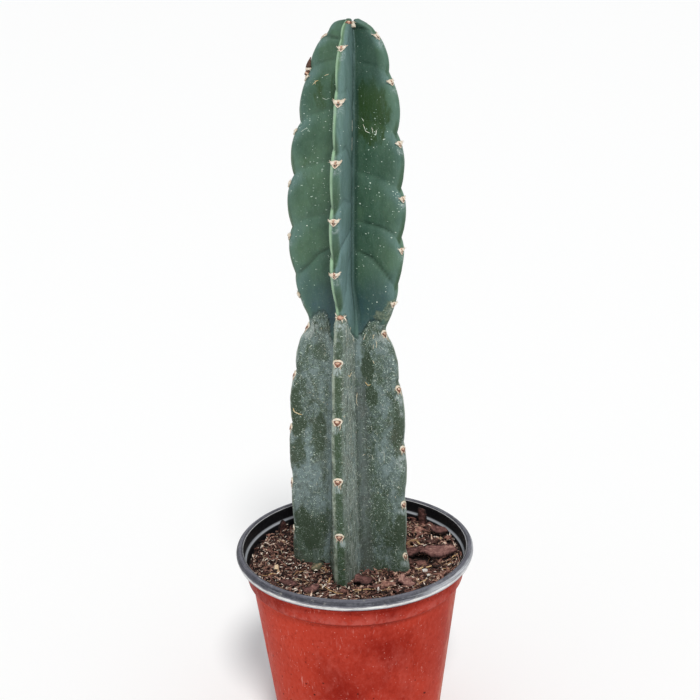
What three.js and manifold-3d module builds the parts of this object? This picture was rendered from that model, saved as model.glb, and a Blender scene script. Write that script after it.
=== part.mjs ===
// A ribbed columnar cactus in a round nursery pot, standing on a table.
// Millimetres, +Z up. The origin is on the table, under the middle of the pot.
// -Y is the front; a rib's bearing is counted from the front, towards +X.
import * as THREE from "three";
import { mergeVertices } from "three/addons/utils/BufferGeometryUtils.js";
import Module from "manifold-3d";

const wasm = await Module();
wasm.setup();

// Driving sizes of the pot. From below: a foot ring round a raised floor, the wall, a step out
// to the collar, a ledge out to the lip, and the lip rolled over as the rim.
const POT_HEIGHT = 140;
const WALL = 1.2;
const RIM_RADIUS = 76;
const LIP_DEPTH = 7;
const LIP_RADIUS = 73.6;
const LEDGE_HEIGHT = 131;
const LEDGE_RADIUS = 71.6;
const STEP_HEIGHT = 119.8;
const COLLAR_RADIUS = 70.4;
const WALL_TOP_RADIUS = 67.2;
const FOOT_RADIUS = 51.5;
const FOOT_BEVEL = 2;
const RING_INNER_RADIUS = 39.5;
const FLOOR_LIFT = 2.6;
const POT_SIDES = 44;
const DRAIN_HOLES = 6;
const DRAIN_HOLE_RADIUS = 4.5;
const DRAIN_CIRCLE = 29;

// Driving sizes of the soil and the bark on it. GAP is the clearance between pieces that touch.
const SOIL_LEVEL = 126.3;
const SOIL_WAVE = 0.7;
const SOIL_EDGE_RISE = 1.6;
const SOIL_SIDES = 36;
const COLLAR_FLARE = 0.7;
const GAP = 0.3;
const HOLLOW_GAP = 0.35;
const CRUMBS = 80;
const CRUMB_REACH = 66;
const CRUMB_SMALLEST = { length: 5, width: 3, thick: 1.8 };
const CRUMB_LARGEST = { length: 12, width: 6.5, thick: 3.2 };
const CRUMB_TILT = 24;
const CRUMB_SEED = 7;
const GOLDEN_ANGLE = 137.508;

// The large flakes on the soil: their place, rise above the soil, turn and tilt in degrees, and
// size. Two of them stand on edge.
const FLAKES = [
  { at: [54.4, 7.4], rise: 2.4, turn: 6, tilt: [12, -3], length: 25, width: 14, thick: 2.6, uneven: 0.08 },
  { at: [37.5, 9.5], rise: 1.4, turn: -14, tilt: [10, 5], length: 13, width: 8, thick: 2.2, uneven: 0.16 },
  { at: [46.6, 46.6], rise: 4.6, turn: 45, tilt: [0, 86], length: 17, width: 7, thick: 2.2, uneven: 0.08 },
  { at: [-46.6, 46.6], rise: 3.2, turn: 135, tilt: [0, 80], length: 12, width: 6, thick: 2.2, uneven: 0.1 },
  { at: [5, -30], rise: 1.4, turn: 28, tilt: [-6, 8], length: 13, width: 8, thick: 2.4, uneven: 0.14 },
  { at: [32, -33], rise: 1.5, turn: -38, tilt: [10, 4], length: 13, width: 9, thick: 2.4, uneven: 0.16 },
  { at: [-42, -31], rise: 1.4, turn: -30, tilt: [8, -6], length: 15, width: 7, thick: 2.2, uneven: 0.12 },
  { at: [-27, -39], rise: 1.4, turn: 18, tilt: [8, 6], length: 13, width: 7, thick: 2.2, uneven: 0.16 },
  { at: [55, 31], rise: 1.5, turn: -24, tilt: [8, 8], length: 12, width: 7.5, thick: 2.2, uneven: 0.18 },
];

// Driving sizes of the stem: where it stands and how it leans, its ends above the soil's level,
// and its ribs. A rib has a bearing, a reach against the stations' margin, the height of its waist
// and the heights of its spine cushions, from the soil up.
const STEM_FOOT = new THREE.Vector2(-0.6, 9);
const STEM_LEAN = 8;
const STEM_BOTTOM = -43;
const STEM_TOP = 339.5;
const RIBS = [
  {
    bearing: -13, reach: 1, waist: 172,
    cushions: [-8, 31, 69.5, 108, 142, 170, 199, 231, 264, 297, 326],
  },
  {
    bearing: 58, reach: 0.955, waist: 157,
    cushions: [9, 45, 82.5, 121.5, 155.5, 175.5, 209, 239.5, 271.5, 306, 331],
  },
  {
    bearing: 136, reach: 0.96, waist: 158,
    cushions: [-19, 20, 58.5, 98, 133, 162, 190, 222, 254, 288, 319],
  },
  {
    bearing: 200, reach: 1, waist: 163,
    cushions: [-13, 26, 64, 103, 138, 166, 195, 227, 260, 292, 322],
  },
  {
    bearing: 265, reach: 0.99, waist: 160,
    cushions: [18.5, 52, 89.5, 125, 156.5, 177, 214, 246, 277, 308, 331],
  },
];
const LOBES = RIBS[0].cushions.length + 1;
const RINGS_PER_LOBE = 4;
const NOTCH_ABOVE_CUSHION = 3.2;
const CUSHION = { width: 5.2, height: 4, rise: 1.2, lean: 0.6 };
const SPINE = { length: 3.4, radius: 0.7, spread: 62, lift: 24 };
const LOWEST_CUSHION = 5;
const TOP_CUSHION_SHARE = 0.7;
const RING_OVER_SOIL = 2.75;

// The stem's stations: height above the soil, rib margin radius, valley radius, half the rib's
// thickness at its margin, valley fillet radius, notch depth, and how far the valley dips at the tip
const STATIONS = [
  [-41, 27, 14, 5, 4, 0, 0],
  [-25, 37, 18.5, 5, 5, 0, 0],
  [0, 40.3, 19.5, 4.6, 5, 1, 0],
  [35, 40.2, 17.5, 4.3, 5, 1.4, 0],
  [70, 40.7, 16, 4, 5, 1.9, 0],
  [105, 39.5, 14.5, 3.9, 4.5, 2.3, 0],
  [135, 35.6, 13.5, 3.8, 4, 2.2, 0],
  [150, 31.5, 12.5, 3.6, 3.5, 1.2, 0],
  [161, 25.8, 11, 3.2, 3, 0, 0],
  [172, 30, 9.6, 2.9, 2.6, 0.7, 0],
  [188, 35, 9, 2.8, 2.5, 2, 0],
  [205, 37.7, 8.8, 2.9, 2.5, 3.2, 0],
  [232, 38.7, 8.6, 2.9, 2.5, 4, 0],
  [262, 36.7, 8.4, 2.9, 2.5, 4, 0],
  [290, 31.8, 7.8, 2.8, 2.4, 3.6, 0],
  [316, 25.2, 6.8, 2.7, 2, 1.8, 0],
  [325.5, 21.2, 5.6, 2.5, 1.6, 1.4, 1],
  [331.5, 17.4, 4.4, 2.3, 1.3, 1, 3],
  [336.5, 13, 3, 2, 1, 0.2, 4.5],
  [339.5, 7.6, 1.7, 1.5, 0.7, 0, 5],
];
const [MARGIN, VALLEY, HALF_THICKNESS, FILLET, NOTCH, DIP] = [1, 2, 3, 4, 5, 6];
const WAIST_HEIGHT = 161;
const WAIST_REACH = 38;
const LOBE_SAG = 0.88;
const LOBE_ROUNDNESS = 0.75;
const SWELL = 0.7;
const LOWER_SWELL_SHARE = 0.35;
const LOWER_CREASE = 3;
const UPPER_CREASE = 12;
const CROWN_DIP = 2.2;

const rad = THREE.MathUtils.degToRad;
const smooth = (from, to, x) => THREE.MathUtils.smoothstep(x, from, to);

// A closed geometry as a solid that can be joined and cut
function solidOf(geometry) {
  const bare = geometry.clone();
  bare.deleteAttribute("normal");
  bare.deleteAttribute("uv");
  const merged = mergeVertices(bare, 1e-4);
  const index = [...merged.index.array];
  const kept = [];
  for (let i = 0; i < index.length; i += 3) {
    const [a, b, c] = index.slice(i, i + 3);
    if (a !== b && b !== c && a !== c) kept.push(a, b, c);
  }
  return new wasm.Manifold(
    new wasm.Mesh({
      numProp: 3,
      vertProperties: new Float32Array(merged.attributes.position.array),
      triVerts: new Uint32Array(kept),
    }),
  );
}

// A solid back as a geometry; of several bodies only the largest is kept
function geometryOf(solid) {
  const body = solid.decompose().reduce((a, b) => (b.volume() > a.volume() ? b : a));
  const mesh = body.getMesh();
  const points = new Float32Array(mesh.numVert * 3);
  for (let i = 0; i < mesh.numVert; i++)
    points.set(mesh.vertProperties.subarray(i * mesh.numProp, i * mesh.numProp + 3), i * 3);
  const geometry = new THREE.BufferGeometry();
  geometry.setAttribute("position", new THREE.BufferAttribute(points, 3));
  geometry.setIndex([...mesh.triVerts]);
  geometry.computeVertexNormals();
  return geometry;
}

// A seeded stream of numbers from 0 to 1
function randomStream(seed) {
  let state = seed;
  return () => {
    state = (state * 1664525 + 1013904223) % 4294967296;
    return state / 4294967296;
  };
}

// A profile of [radius, height] pairs, turned about the Z axis
function turned(profile, sides) {
  const points = profile.map(([r, z]) => new THREE.Vector2(r, z));
  return new THREE.LatheGeometry(points, sides).rotateX(Math.PI / 2);
}

// The pot's inner face, from the middle of its floor to the rim, set in by a gap
function innerProfile(gap) {
  const inset = WALL + gap;
  return [
    [0, FLOOR_LIFT + inset],
    [RING_INNER_RADIUS - 0.8, FLOOR_LIFT + inset],
    [RING_INNER_RADIUS + 0.7, inset],
    [FOOT_RADIUS - FOOT_BEVEL - 0.6 - gap, inset],
    [FOOT_RADIUS + 0.1 - inset, FOOT_BEVEL + 0.8 + gap],
    [WALL_TOP_RADIUS - inset, STEP_HEIGHT - 1.6],
    [COLLAR_RADIUS - inset, STEP_HEIGHT + 0.8],
    [LEDGE_RADIUS - inset, LEDGE_HEIGHT - 0.7],
    [LIP_RADIUS - inset, LEDGE_HEIGHT + 0.8],
    [LIP_RADIUS - 0.2 - inset, POT_HEIGHT - 1.4],
  ];
}

// The pot: a thin shell with drain holes in its floor
function potGeometry() {
  const lipFoot = POT_HEIGHT - LIP_DEPTH;
  const profile = [
    [0, FLOOR_LIFT],
    [RING_INNER_RADIUS - 1.5, FLOOR_LIFT],
    [RING_INNER_RADIUS, 0],
    [FOOT_RADIUS - FOOT_BEVEL, 0],
    [FOOT_RADIUS, FOOT_BEVEL],
    [WALL_TOP_RADIUS, STEP_HEIGHT - 2],
    [COLLAR_RADIUS, STEP_HEIGHT],
    [LEDGE_RADIUS, LEDGE_HEIGHT - 1.5],
    [LIP_RADIUS, LEDGE_HEIGHT],
    [LIP_RADIUS, lipFoot],
    [RIM_RADIUS - 0.8, lipFoot],
    [RIM_RADIUS - 0.1, lipFoot + 2],
    [RIM_RADIUS, POT_HEIGHT - 2.7],
    [RIM_RADIUS - 0.8, POT_HEIGHT - 0.8],
    [RIM_RADIUS - 2.2, POT_HEIGHT],
    [RIM_RADIUS - 3.2, POT_HEIGHT - 0.4],
    ...innerProfile(0).reverse(),
  ];
  let pot = solidOf(turned(profile, POT_SIDES));
  for (let i = 0; i < DRAIN_HOLES; i++) {
    const angle = (i / DRAIN_HOLES) * 2 * Math.PI;
    const hole = new THREE.CylinderGeometry(DRAIN_HOLE_RADIUS, DRAIN_HOLE_RADIUS, 6 * WALL, 10);
    hole.rotateX(Math.PI / 2);
    hole.translate(DRAIN_CIRCLE * Math.cos(angle), DRAIN_CIRCLE * Math.sin(angle), FLOOR_LIFT);
    pot = pot.subtract(solidOf(hole));
  }
  return geometryOf(pot);
}

// The station table at a height, read along a smooth curve
function station(height, column) {
  const i = STATIONS.findIndex((row) => row[0] >= height);
  if (i < 0) return STATIONS.at(-1)[column];
  if (i === 0) return STATIONS[0][column];
  const slope = (n) => {
    const a = STATIONS[Math.max(n - 1, 0)];
    const b = STATIONS[Math.min(n + 1, STATIONS.length - 1)];
    return (b[column] - a[column]) / (b[0] - a[0]);
  };
  const [p, q] = [STATIONS[i - 1], STATIONS[i]];
  const span = q[0] - p[0];
  const t = (height - p[0]) / span;
  const [t2, t3] = [t * t, t * t * t];
  return (
    (2 * t3 - 3 * t2 + 1) * p[column] +
    (t3 - 2 * t2 + t) * span * slope(i - 1) +
    (3 * t2 - 2 * t3) * q[column] +
    (t3 - t2) * span * slope(i)
  );
}

// The heights of a rib's notches above the soil, with the stem's two ends
function notches(rib) {
  const raised = (height) => height + NOTCH_ABOVE_CUSHION * (1 - smooth(322, 338, height));
  return [STEM_BOTTOM, ...rib.cushions.map(raised), STEM_TOP];
}

// The height on a rib at a ring; the rings count its notches from the stem's foot up
function ringHeight(rib, ring) {
  const heights = notches(rib);
  const i = Math.min(Math.floor(ring), LOBES - 1);
  return heights[i] + (heights[i + 1] - heights[i]) * (ring - i);
}

// How far a rib's lobe stands out at a height: 0 in a notch, 1 at its fullest
function lobe(rib, height) {
  const heights = notches(rib);
  const above = Math.max(1, heights.findIndex((h) => h > height));
  const [low, high] = height >= STEM_TOP ? heights.slice(-2) : [heights[above - 1], heights[above]];
  const down = THREE.MathUtils.clamp((high - height) / (high - low), 0, 1);
  return Math.pow(Math.max(0, Math.sin(Math.PI * Math.pow(down, LOBE_SAG))), LOBE_ROUNDNESS);
}

// The radius of a rib's margin at a height, with its waist and its notches
function marginRadius(rib, height) {
  const off = (height - WAIST_HEIGHT) / WAIST_REACH;
  const warped = height - (rib.waist - WAIST_HEIGHT) * Math.exp(-off * off);
  return rib.reach * station(warped, MARGIN) - station(height, NOTCH) * (1 - lobe(rib, height));
}

// One half of a rib's section, from its crest to the valley beside it: the margin is an arc,
// the valley is an arc, and the flank is the line that touches both.
// part is 0 on the margin, 1 on the flank and 2 in the valley, and share runs along it.
function halfSection(radius, height, halfGap, part, share) {
  const margin = station(height, HALF_THICKNESS);
  const fillet = station(height, FILLET);
  const valley = station(height, VALLEY) + fillet;
  const tip = new THREE.Vector2(radius - margin, 0);
  const bottom = new THREE.Vector2(valley * Math.cos(halfGap), valley * Math.sin(halfGap));
  const between = bottom.clone().sub(tip);
  const turn = Math.asin(Math.min(1, (margin + fillet) / between.length()));
  const touch = between.angle() - Math.PI / 2 + turn;
  const across = (angle) => new THREE.Vector2(Math.cos(angle), Math.sin(angle));
  let normal = across(touch);
  if (part === 0) {
    normal = across(touch * share);
    return { point: tip.addScaledVector(normal, margin), normal };
  }
  if (part === 1) {
    const from = tip.clone().addScaledVector(normal, margin);
    const to = bottom.clone().addScaledVector(normal, -fillet);
    return { point: from.lerp(to, share), normal };
  }
  normal = across(touch + (halfGap - touch) * share);
  return { point: bottom.addScaledVector(normal, -fillet), normal };
}

// The samples round half a rib: part of the section, place along it, and how far towards the valley
const HALF_RIB = [
  { part: 0, share: 0, inward: 0 },
  { part: 0, share: 0.5, inward: 0.03 },
  { part: 0, share: 1, inward: 0.09 },
  { part: 1, share: 0.5, inward: 0.5 },
  { part: 1, share: 1, inward: 0.9 },
];
const VALLEY_SAMPLE = { part: 2, share: 1, inward: 1 };

// The bend of the stem's axis at a height
function axisAt(height) {
  const along = Math.max(height, 0) / STEM_TOP;
  return new THREE.Vector2(STEM_FOOT.x + STEM_LEAN * Math.pow(along, 2.2), STEM_FOOT.y);
}

// How far a ring climbs from a rib's margin to the valley, in creases that rise inwards
function creaseRise(ring) {
  const upper = smooth(5.3, 6.6, ring) * (1 - smooth(9.6, 11.5, ring));
  return LOWER_CREASE * smooth(1, 3, ring) + UPPER_CREASE * upper;
}

// A point of the stem's skin. ring counts notches up the stem; side is 1 or -1, towards the next
// or the previous rib; clear moves the point outwards.
function skinPoint(ribNumber, side, sample, ring, clear) {
  const rib = RIBS[ribNumber];
  const other = RIBS[(ribNumber + side + RIBS.length) % RIBS.length];
  const gap = ((((other.bearing - rib.bearing) * side) % 360) + 360) % 360;
  const crest = ringHeight(rib, ring);
  const valley = (crest + ringHeight(other, ring)) / 2 + creaseRise(ring);
  const height = crest + sample.inward * (valley - crest);
  const radius = marginRadius(rib, height);
  const { point, normal } = halfSection(radius, height, rad(gap / 2), sample.part, sample.share);
  const upper = smooth(160, 185, height) * (1 - smooth(300, 325, height));
  const pillow = Math.sin(Math.PI * sample.inward) * (lobe(rib, crest) - 0.5);
  point.addScaledVector(normal, clear + SWELL * (LOWER_SWELL_SHARE + upper) * pillow);
  const bearing = rad(rib.bearing) - Math.PI / 2;
  const along = new THREE.Vector2(Math.cos(bearing), Math.sin(bearing));
  const across = new THREE.Vector2(-along.y, along.x);
  const place = axisAt(height).addScaledVector(along, point.x);
  place.addScaledVector(across, point.y * side);
  const dip = station(height, DIP) * sample.inward;
  return new THREE.Vector3(place.x, place.y, height - dip);
}

// The samples round the whole stem, in order
function roundTheStem() {
  const round = [];
  for (let rib = 0; rib < RIBS.length; rib++) {
    for (const sample of HALF_RIB.slice(1).reverse()) round.push([rib, -1, sample]);
    for (const sample of HALF_RIB) round.push([rib, 1, sample]);
    round.push([rib, 1, VALLEY_SAMPLE]);
  }
  return round;
}

// The stem's skin as one closed surface of rings, from its cut foot up to the ring named last,
// with its heights counted from the soil's level
function stemSolid(last, clear) {
  const round = roundTheStem();
  const rings = Math.round(last * RINGS_PER_LOBE);
  const points = [];
  for (let i = 0; i <= rings; i++) {
    const ring = i / RINGS_PER_LOBE;
    for (const [rib, side, sample] of round) {
      const p = skinPoint(rib, side, sample, ring, clear);
      points.push(p.x, p.y, p.z - (i === 0 ? clear : 0));
    }
  }
  const crown = ringHeight(RIBS[0], last);
  points.push(...axisAt(STEM_BOTTOM), STEM_BOTTOM - clear);
  points.push(...axisAt(crown), crown - (last === LOBES ? CROWN_DIP : 0));
  const count = round.length;
  const foot = (rings + 1) * count;
  const index = [];
  for (let j = 0; j < count; j++) {
    const next = (j + 1) % count;
    index.push(foot, next, j);
    index.push(foot + 1, rings * count + j, rings * count + next);
    for (let i = 0; i < rings; i++) {
      const [a, b] = [i * count + j, i * count + next];
      index.push(a, b, b + count, a, b + count, a + count);
    }
  }
  const geometry = new THREE.BufferGeometry();
  geometry.setAttribute("position", new THREE.Float32BufferAttribute(points, 3));
  geometry.setIndex(index);
  return solidOf(geometry);
}

// Where a spine cushion sits: its place, and the frame that faces out of the rib's margin
function cushionFrame(rib, height) {
  const slope = (marginRadius(rib, height + 1) - marginRadius(rib, height - 1)) / 2;
  const bearing = rad(rib.bearing) - Math.PI / 2;
  const out = new THREE.Vector3(Math.cos(bearing), Math.sin(bearing), 0);
  const facing = out.clone().add(new THREE.Vector3(0, 0, -slope * CUSHION.lean)).normalize();
  const side = new THREE.Vector3(-out.y, out.x, 0);
  const up = facing.clone().cross(side);
  const place = new THREE.Vector3(...axisAt(height), height);
  place.addScaledVector(out, marginRadius(rib, height));
  return new THREE.Matrix4().makeBasis(side, up, facing).setPosition(place);
}

// A spine cushion: a low woolly dome with two short blunt spines that spread from it
function cushionSolid(frame, size) {
  const dome = new THREE.SphereGeometry(1, 6, 4);
  dome.scale(CUSHION.width / 2, CUSHION.height / 2, CUSHION.rise).scale(size, size, size);
  let cushion = solidOf(dome.applyMatrix4(frame));
  for (const side of [-1, 1]) {
    const spine = new THREE.ConeGeometry(SPINE.radius * size, SPINE.length * size, 3);
    spine.translate(0, (SPINE.length / 2) * size, 0);
    spine.rotateZ(-side * rad(SPINE.spread));
    spine.rotateX(rad(SPINE.lift));
    cushion = cushion.add(solidOf(spine.applyMatrix4(frame)));
  }
  return cushion;
}

// The whole stem with its cushions fused to the rib margins
function stemGeometry() {
  const parts = [stemSolid(LOBES, 0)];
  for (const rib of RIBS)
    for (const height of rib.cushions.filter((h) => h > LOWEST_CUSHION)) {
      const size = 1 - (1 - TOP_CUSHION_SHARE) * smooth(290, 330, height);
      parts.push(cushionSolid(cushionFrame(rib, height), size));
    }
  return geometryOf(wasm.Manifold.union(parts));
}

// The soil's level at a place, in low waves, and banked up to the pot's wall
function soilHeight(x, y) {
  const wave =
    Math.sin(x / 7.5 + 1.3) * Math.cos(y / 9 - 0.4) +
    0.6 * Math.sin(x / 3.9 - y / 5.1) +
    0.5 * Math.cos(y / 4.2 + x / 11);
  return SOIL_LEVEL + SOIL_WAVE * wave + SOIL_EDGE_RISE * smooth(48, 68, Math.hypot(x, y));
}

// A flake of bark: an uneven six-sided slab, grown all round by a clearance
function flakeGeometry({ length, width, thick, uneven }, clear) {
  const outline = new THREE.Shape();
  for (let i = 0; i < 6; i++) {
    const angle = (i / 6) * 2 * Math.PI + 0.3;
    const reach = 1 + uneven * Math.sin(i * 2.4 + length);
    const x = (length / 2) * reach * Math.cos(angle);
    const y = (width / 2) * reach * Math.sin(angle);
    const out = 1 + (1.6 * clear) / Math.hypot(x, y);
    if (i === 0) outline.moveTo(x * out, y * out);
    else outline.lineTo(x * out, y * out);
  }
  outline.closePath();
  const slab = new THREE.ExtrudeGeometry(outline, { depth: thick + 2 * clear, bevelEnabled: false });
  return slab.translate(0, 0, -thick / 2 - clear);
}

// How a flake lies on the soil
function flakeMatrix(piece) {
  const tilt = new THREE.Euler(rad(piece.tilt[0]), rad(piece.tilt[1]), rad(piece.turn), "ZXY");
  return new THREE.Matrix4().makeRotationFromEuler(tilt).setPosition(...piece.at, SOIL_LEVEL + piece.rise);
}

// The crumbs of bark that cover the soil, strewn by a seeded draw and sunk in it
function crumbSolids() {
  const random = randomStream(CRUMB_SEED);
  const between = (key) => THREE.MathUtils.lerp(CRUMB_SMALLEST[key], CRUMB_LARGEST[key], random());
  const tilt = () => rad(CRUMB_TILT) * (2 * random() - 1);
  const crumbs = [];
  for (let i = 0; i < CRUMBS; i++) {
    const radius = CRUMB_REACH * Math.sqrt((i + 0.5) / CRUMBS);
    const angle = rad(GOLDEN_ANGLE) * i + 0.5 * random();
    const [x, y] = [radius * Math.cos(angle), radius * Math.sin(angle)];
    const crumb = new THREE.BoxGeometry(between("length"), between("width"), between("thick"));
    crumb.rotateX(tilt());
    crumb.rotateY(tilt());
    crumb.rotateZ(Math.PI * random());
    crumbs.push(solidOf(crumb.translate(x, y, soilHeight(x, y) + GAP)));
  }
  return crumbs;
}

// The soil: it fills the pot and is covered with crumbs, with hollows for the stem and the flakes
function soilGeometry() {
  const edge = innerProfile(GAP)[6][0] + COLLAR_FLARE;
  const wall = innerProfile(GAP).slice(0, 7);
  const level = [1, 0.84, 0.68, 0.52, 0.36, 0.18, 0].map((share) => [edge * share, SOIL_LEVEL]);
  const body = turned([...wall, ...level], SOIL_SIDES);
  const points = body.attributes.position;
  for (let i = 0; i < points.count; i++)
    if (points.getZ(i) > SOIL_LEVEL - 0.01) points.setZ(i, soilHeight(points.getX(i), points.getY(i)));
  const room = turned([...wall, [edge, SOIL_LEVEL], [edge, POT_HEIGHT], [0, POT_HEIGHT]], SOIL_SIDES);
  let soil = wasm.Manifold.union([solidOf(body), ...crumbSolids()]).intersect(solidOf(room));
  soil = soil.subtract(stemSolid(RING_OVER_SOIL, HOLLOW_GAP).translate(0, 0, SOIL_LEVEL));
  for (const piece of FLAKES) {
    const hollow = flakeGeometry(piece, HOLLOW_GAP).applyMatrix4(flakeMatrix(piece));
    soil = soil.subtract(solidOf(hollow));
  }
  return geometryOf(soil);
}

const plant = new THREE.Group();

// Adds a piece to the plant by name, with its colour and roughness
function add(name, geometry, color, roughness) {
  const material = new THREE.MeshStandardMaterial({ color, roughness, metalness: 0 });
  const mesh = new THREE.Mesh(geometry, material);
  mesh.name = name;
  plant.add(mesh);
  return mesh;
}

add("pot", potGeometry(), 0xa43a28, 0.45);
add("soil", soilGeometry(), 0x3f2c24, 0.95);
add("stem", stemGeometry(), 0x42604c, 0.55).position.z = SOIL_LEVEL;
FLAKES.forEach((piece, i) => {
  const flake = add(`bark_flake_${i + 1}`, flakeGeometry(piece, 0), 0x6f4638, 0.9);
  flake.applyMatrix4(flakeMatrix(piece));
});

export default plant;
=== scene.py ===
import itertools
import math

import bpy
import numpy as np
from mathutils import Matrix, Vector, noise


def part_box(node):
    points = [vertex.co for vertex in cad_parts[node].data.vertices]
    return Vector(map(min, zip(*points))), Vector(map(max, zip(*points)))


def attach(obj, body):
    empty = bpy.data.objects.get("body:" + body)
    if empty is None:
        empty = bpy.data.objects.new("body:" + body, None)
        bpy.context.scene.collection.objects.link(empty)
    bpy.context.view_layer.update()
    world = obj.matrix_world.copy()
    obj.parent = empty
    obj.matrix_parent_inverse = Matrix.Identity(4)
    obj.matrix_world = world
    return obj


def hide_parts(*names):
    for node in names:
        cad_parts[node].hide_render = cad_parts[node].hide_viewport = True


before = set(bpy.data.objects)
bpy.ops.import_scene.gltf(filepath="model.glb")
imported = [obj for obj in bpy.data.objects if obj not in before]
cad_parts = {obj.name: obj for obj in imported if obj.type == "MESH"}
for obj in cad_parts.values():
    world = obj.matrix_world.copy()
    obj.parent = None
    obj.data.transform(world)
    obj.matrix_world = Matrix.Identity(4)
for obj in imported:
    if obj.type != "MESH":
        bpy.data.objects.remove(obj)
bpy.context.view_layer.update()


# The view. The plant stands on a plain white table in soft studio light. The camera looks down on
# it a little from 0.75 m in front, and is tipped by a degree and a half.
PICTURE_SIDE_PIXELS = 700
FOCAL_PIXELS = 1300
SENSOR_WIDTH = 36.0
CAMERA_PLACE = Vector((0.0, -0.7506, 0.5273))
CAMERA_PITCH = math.radians(-18.90)
CAMERA_YAW = math.radians(0.03)
CAMERA_ROLL = -0.0268
TABLE_SIDE = 40.0
TABLE_WHITE = (0.97, 0.97, 0.97, 1.0)
TABLE_ROUGHNESS = 0.9
ROOM_COLOUR = (0.96, 0.98, 1.0, 1.0)
ROOM_LIGHT = 0.56
WINDOW_DIRECTION = Vector((0.12, -0.8, 1.0))
WINDOW_COLOUR = (1.0, 0.985, 0.96)
WINDOW_LIGHT = 2.0
WINDOW_SPREAD = math.radians(12)


def aim_camera():
    data = bpy.data.cameras.new("camera")
    data.sensor_width = SENSOR_WIDTH
    data.lens = FOCAL_PIXELS / PICTURE_SIDE_PIXELS * SENSOR_WIDTH
    camera = bpy.data.objects.new("camera", data)
    bpy.context.scene.collection.objects.link(camera)
    level = math.cos(CAMERA_PITCH)
    ahead = (math.sin(CAMERA_YAW) * level, math.cos(CAMERA_YAW) * level, math.sin(CAMERA_PITCH))
    ahead = Vector(ahead)
    right = ahead.cross(Vector((0, 0, 1))).normalized()
    up = right.cross(ahead)
    tipped_right = math.cos(CAMERA_ROLL) * right + math.sin(CAMERA_ROLL) * up
    tipped_up = math.cos(CAMERA_ROLL) * up - math.sin(CAMERA_ROLL) * right
    turn = Matrix((tipped_right, tipped_up, -ahead)).transposed()
    camera.matrix_world = Matrix.Translation(CAMERA_PLACE) @ turn.to_4x4()
    bpy.context.scene.camera = camera


def hang_window():
    """One large soft lamp far away, which lights the whole table evenly."""
    data = bpy.data.lights.new("window", "SUN")
    data.energy = WINDOW_LIGHT
    data.angle = WINDOW_SPREAD
    data.color = WINDOW_COLOUR
    lamp = bpy.data.objects.new("window", data)
    bpy.context.scene.collection.objects.link(lamp)
    lamp.rotation_euler = WINDOW_DIRECTION.to_track_quat("Z", "Y").to_euler()


def light_room():
    room = bpy.data.worlds.new("studio")
    room.use_nodes = True
    walls = room.node_tree.nodes["Background"].inputs
    walls["Color"].default_value = ROOM_COLOUR
    walls["Strength"].default_value = ROOM_LIGHT
    bpy.context.scene.world = room


def lay_table():
    half = TABLE_SIDE / 2
    mesh = bpy.data.meshes.new("table")
    corners = [(-half, -half, 0), (half, -half, 0), (half, half, 0), (-half, half, 0)]
    mesh.from_pydata(corners, [], [(0, 1, 2, 3)])
    table = bpy.data.objects.new("table", mesh)
    bpy.context.scene.collection.objects.link(table)
    white = bpy.data.materials.new("table white")
    white.use_nodes = True
    shader = white.node_tree.nodes["Principled BSDF"]
    shader.inputs["Base Color"].default_value = TABLE_WHITE
    shader.inputs["Roughness"].default_value = TABLE_ROUGHNESS
    mesh.materials.append(white)


aim_camera()
hang_window()
light_room()
lay_table()
bpy.context.scene.view_settings.view_transform = "Standard"


# The pot. A nursery pot drawn from one thin sheet of plastic in two layers, terracotta outside and
# black inside; the sheet's edge is rolled over as the rim, and a step below it lets pots nest.
MM = 0.001
pot_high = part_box("pot")[1]
RIM_RADIUS = pot_high.x / MM
POT_HEIGHT = pot_high.z / MM
POT_WALL = 1.2
FOOT_RADIUS = 51.5
FOOT_RING_INNER = 39.5
FLOOR_LIFT = 2.6
STEP_HEIGHT = 119.8
WALL_TOP_RADIUS = 66.5
COLLAR_RADIUS = 69.4
LEDGE_HEIGHT = 131.0
LEDGE_RADIUS = 70.6
LIP_RADIUS = 72.5
POT_SIDES = 224
CORNER_STEPS = 5
DRAIN_HOLES = 6
DRAIN_HOLE_RADIUS = 4.5
DRAIN_HOLE_SIDES = 40
DRAIN_CIRCLE = 29.0
# The heights from and to which the drain holes are cut
DRAIN_CUT = (-6.0, 12.0)
# A painted highlight, a long pale streak of reflected light down the pot's right side: its bearing from the
# right towards the back, its width
REFLECTION_BEARING = 341.0
REFLECTION_WIDTH = 5.0


def srgb(red, green, blue):
    """A colour given in display values from 0 to 255, as the linear colour that a shader takes."""
    shares = [value / 255 for value in (red, green, blue)]
    linear = [s / 12.92 if s <= 0.04045 else ((s + 0.055) / 1.055) ** 2.4 for s in shares]
    return (*linear, 1.0)


TERRACOTTA = srgb(169, 55, 41)
TERRACOTTA_DEEP = srgb(136, 32, 22)
TERRACOTTA_HOLLOW = srgb(120, 24, 16)
TERRACOTTA_CREASE_SHADE = srgb(84, 16, 10)
TERRACOTTA_SIDE_LIT = srgb(200, 70, 50)
TERRACOTTA_CHALKY = srgb(188, 94, 84)
TERRACOTTA_WORN = srgb(206, 124, 116)
TERRACOTTA_REFLECTED = srgb(206, 130, 108)
SCRATCH_PALE = srgb(220, 150, 140)
DIRT = srgb(64, 24, 20)
BLACK_PLASTIC = srgb(20, 20, 23)
BLACK_DUSTY = srgb(64, 64, 68)
LEDGE_HIGHLIGHT = srgb(205, 210, 218)
RIM_FINE = srgb(138, 139, 146)
RIM_GROOVE = srgb(52, 52, 58)
RIM_SHINE = srgb(168, 172, 180)
RIM_LIT = srgb(206, 209, 214)
RIM_SCUFF = srgb(170, 168, 160)
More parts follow.
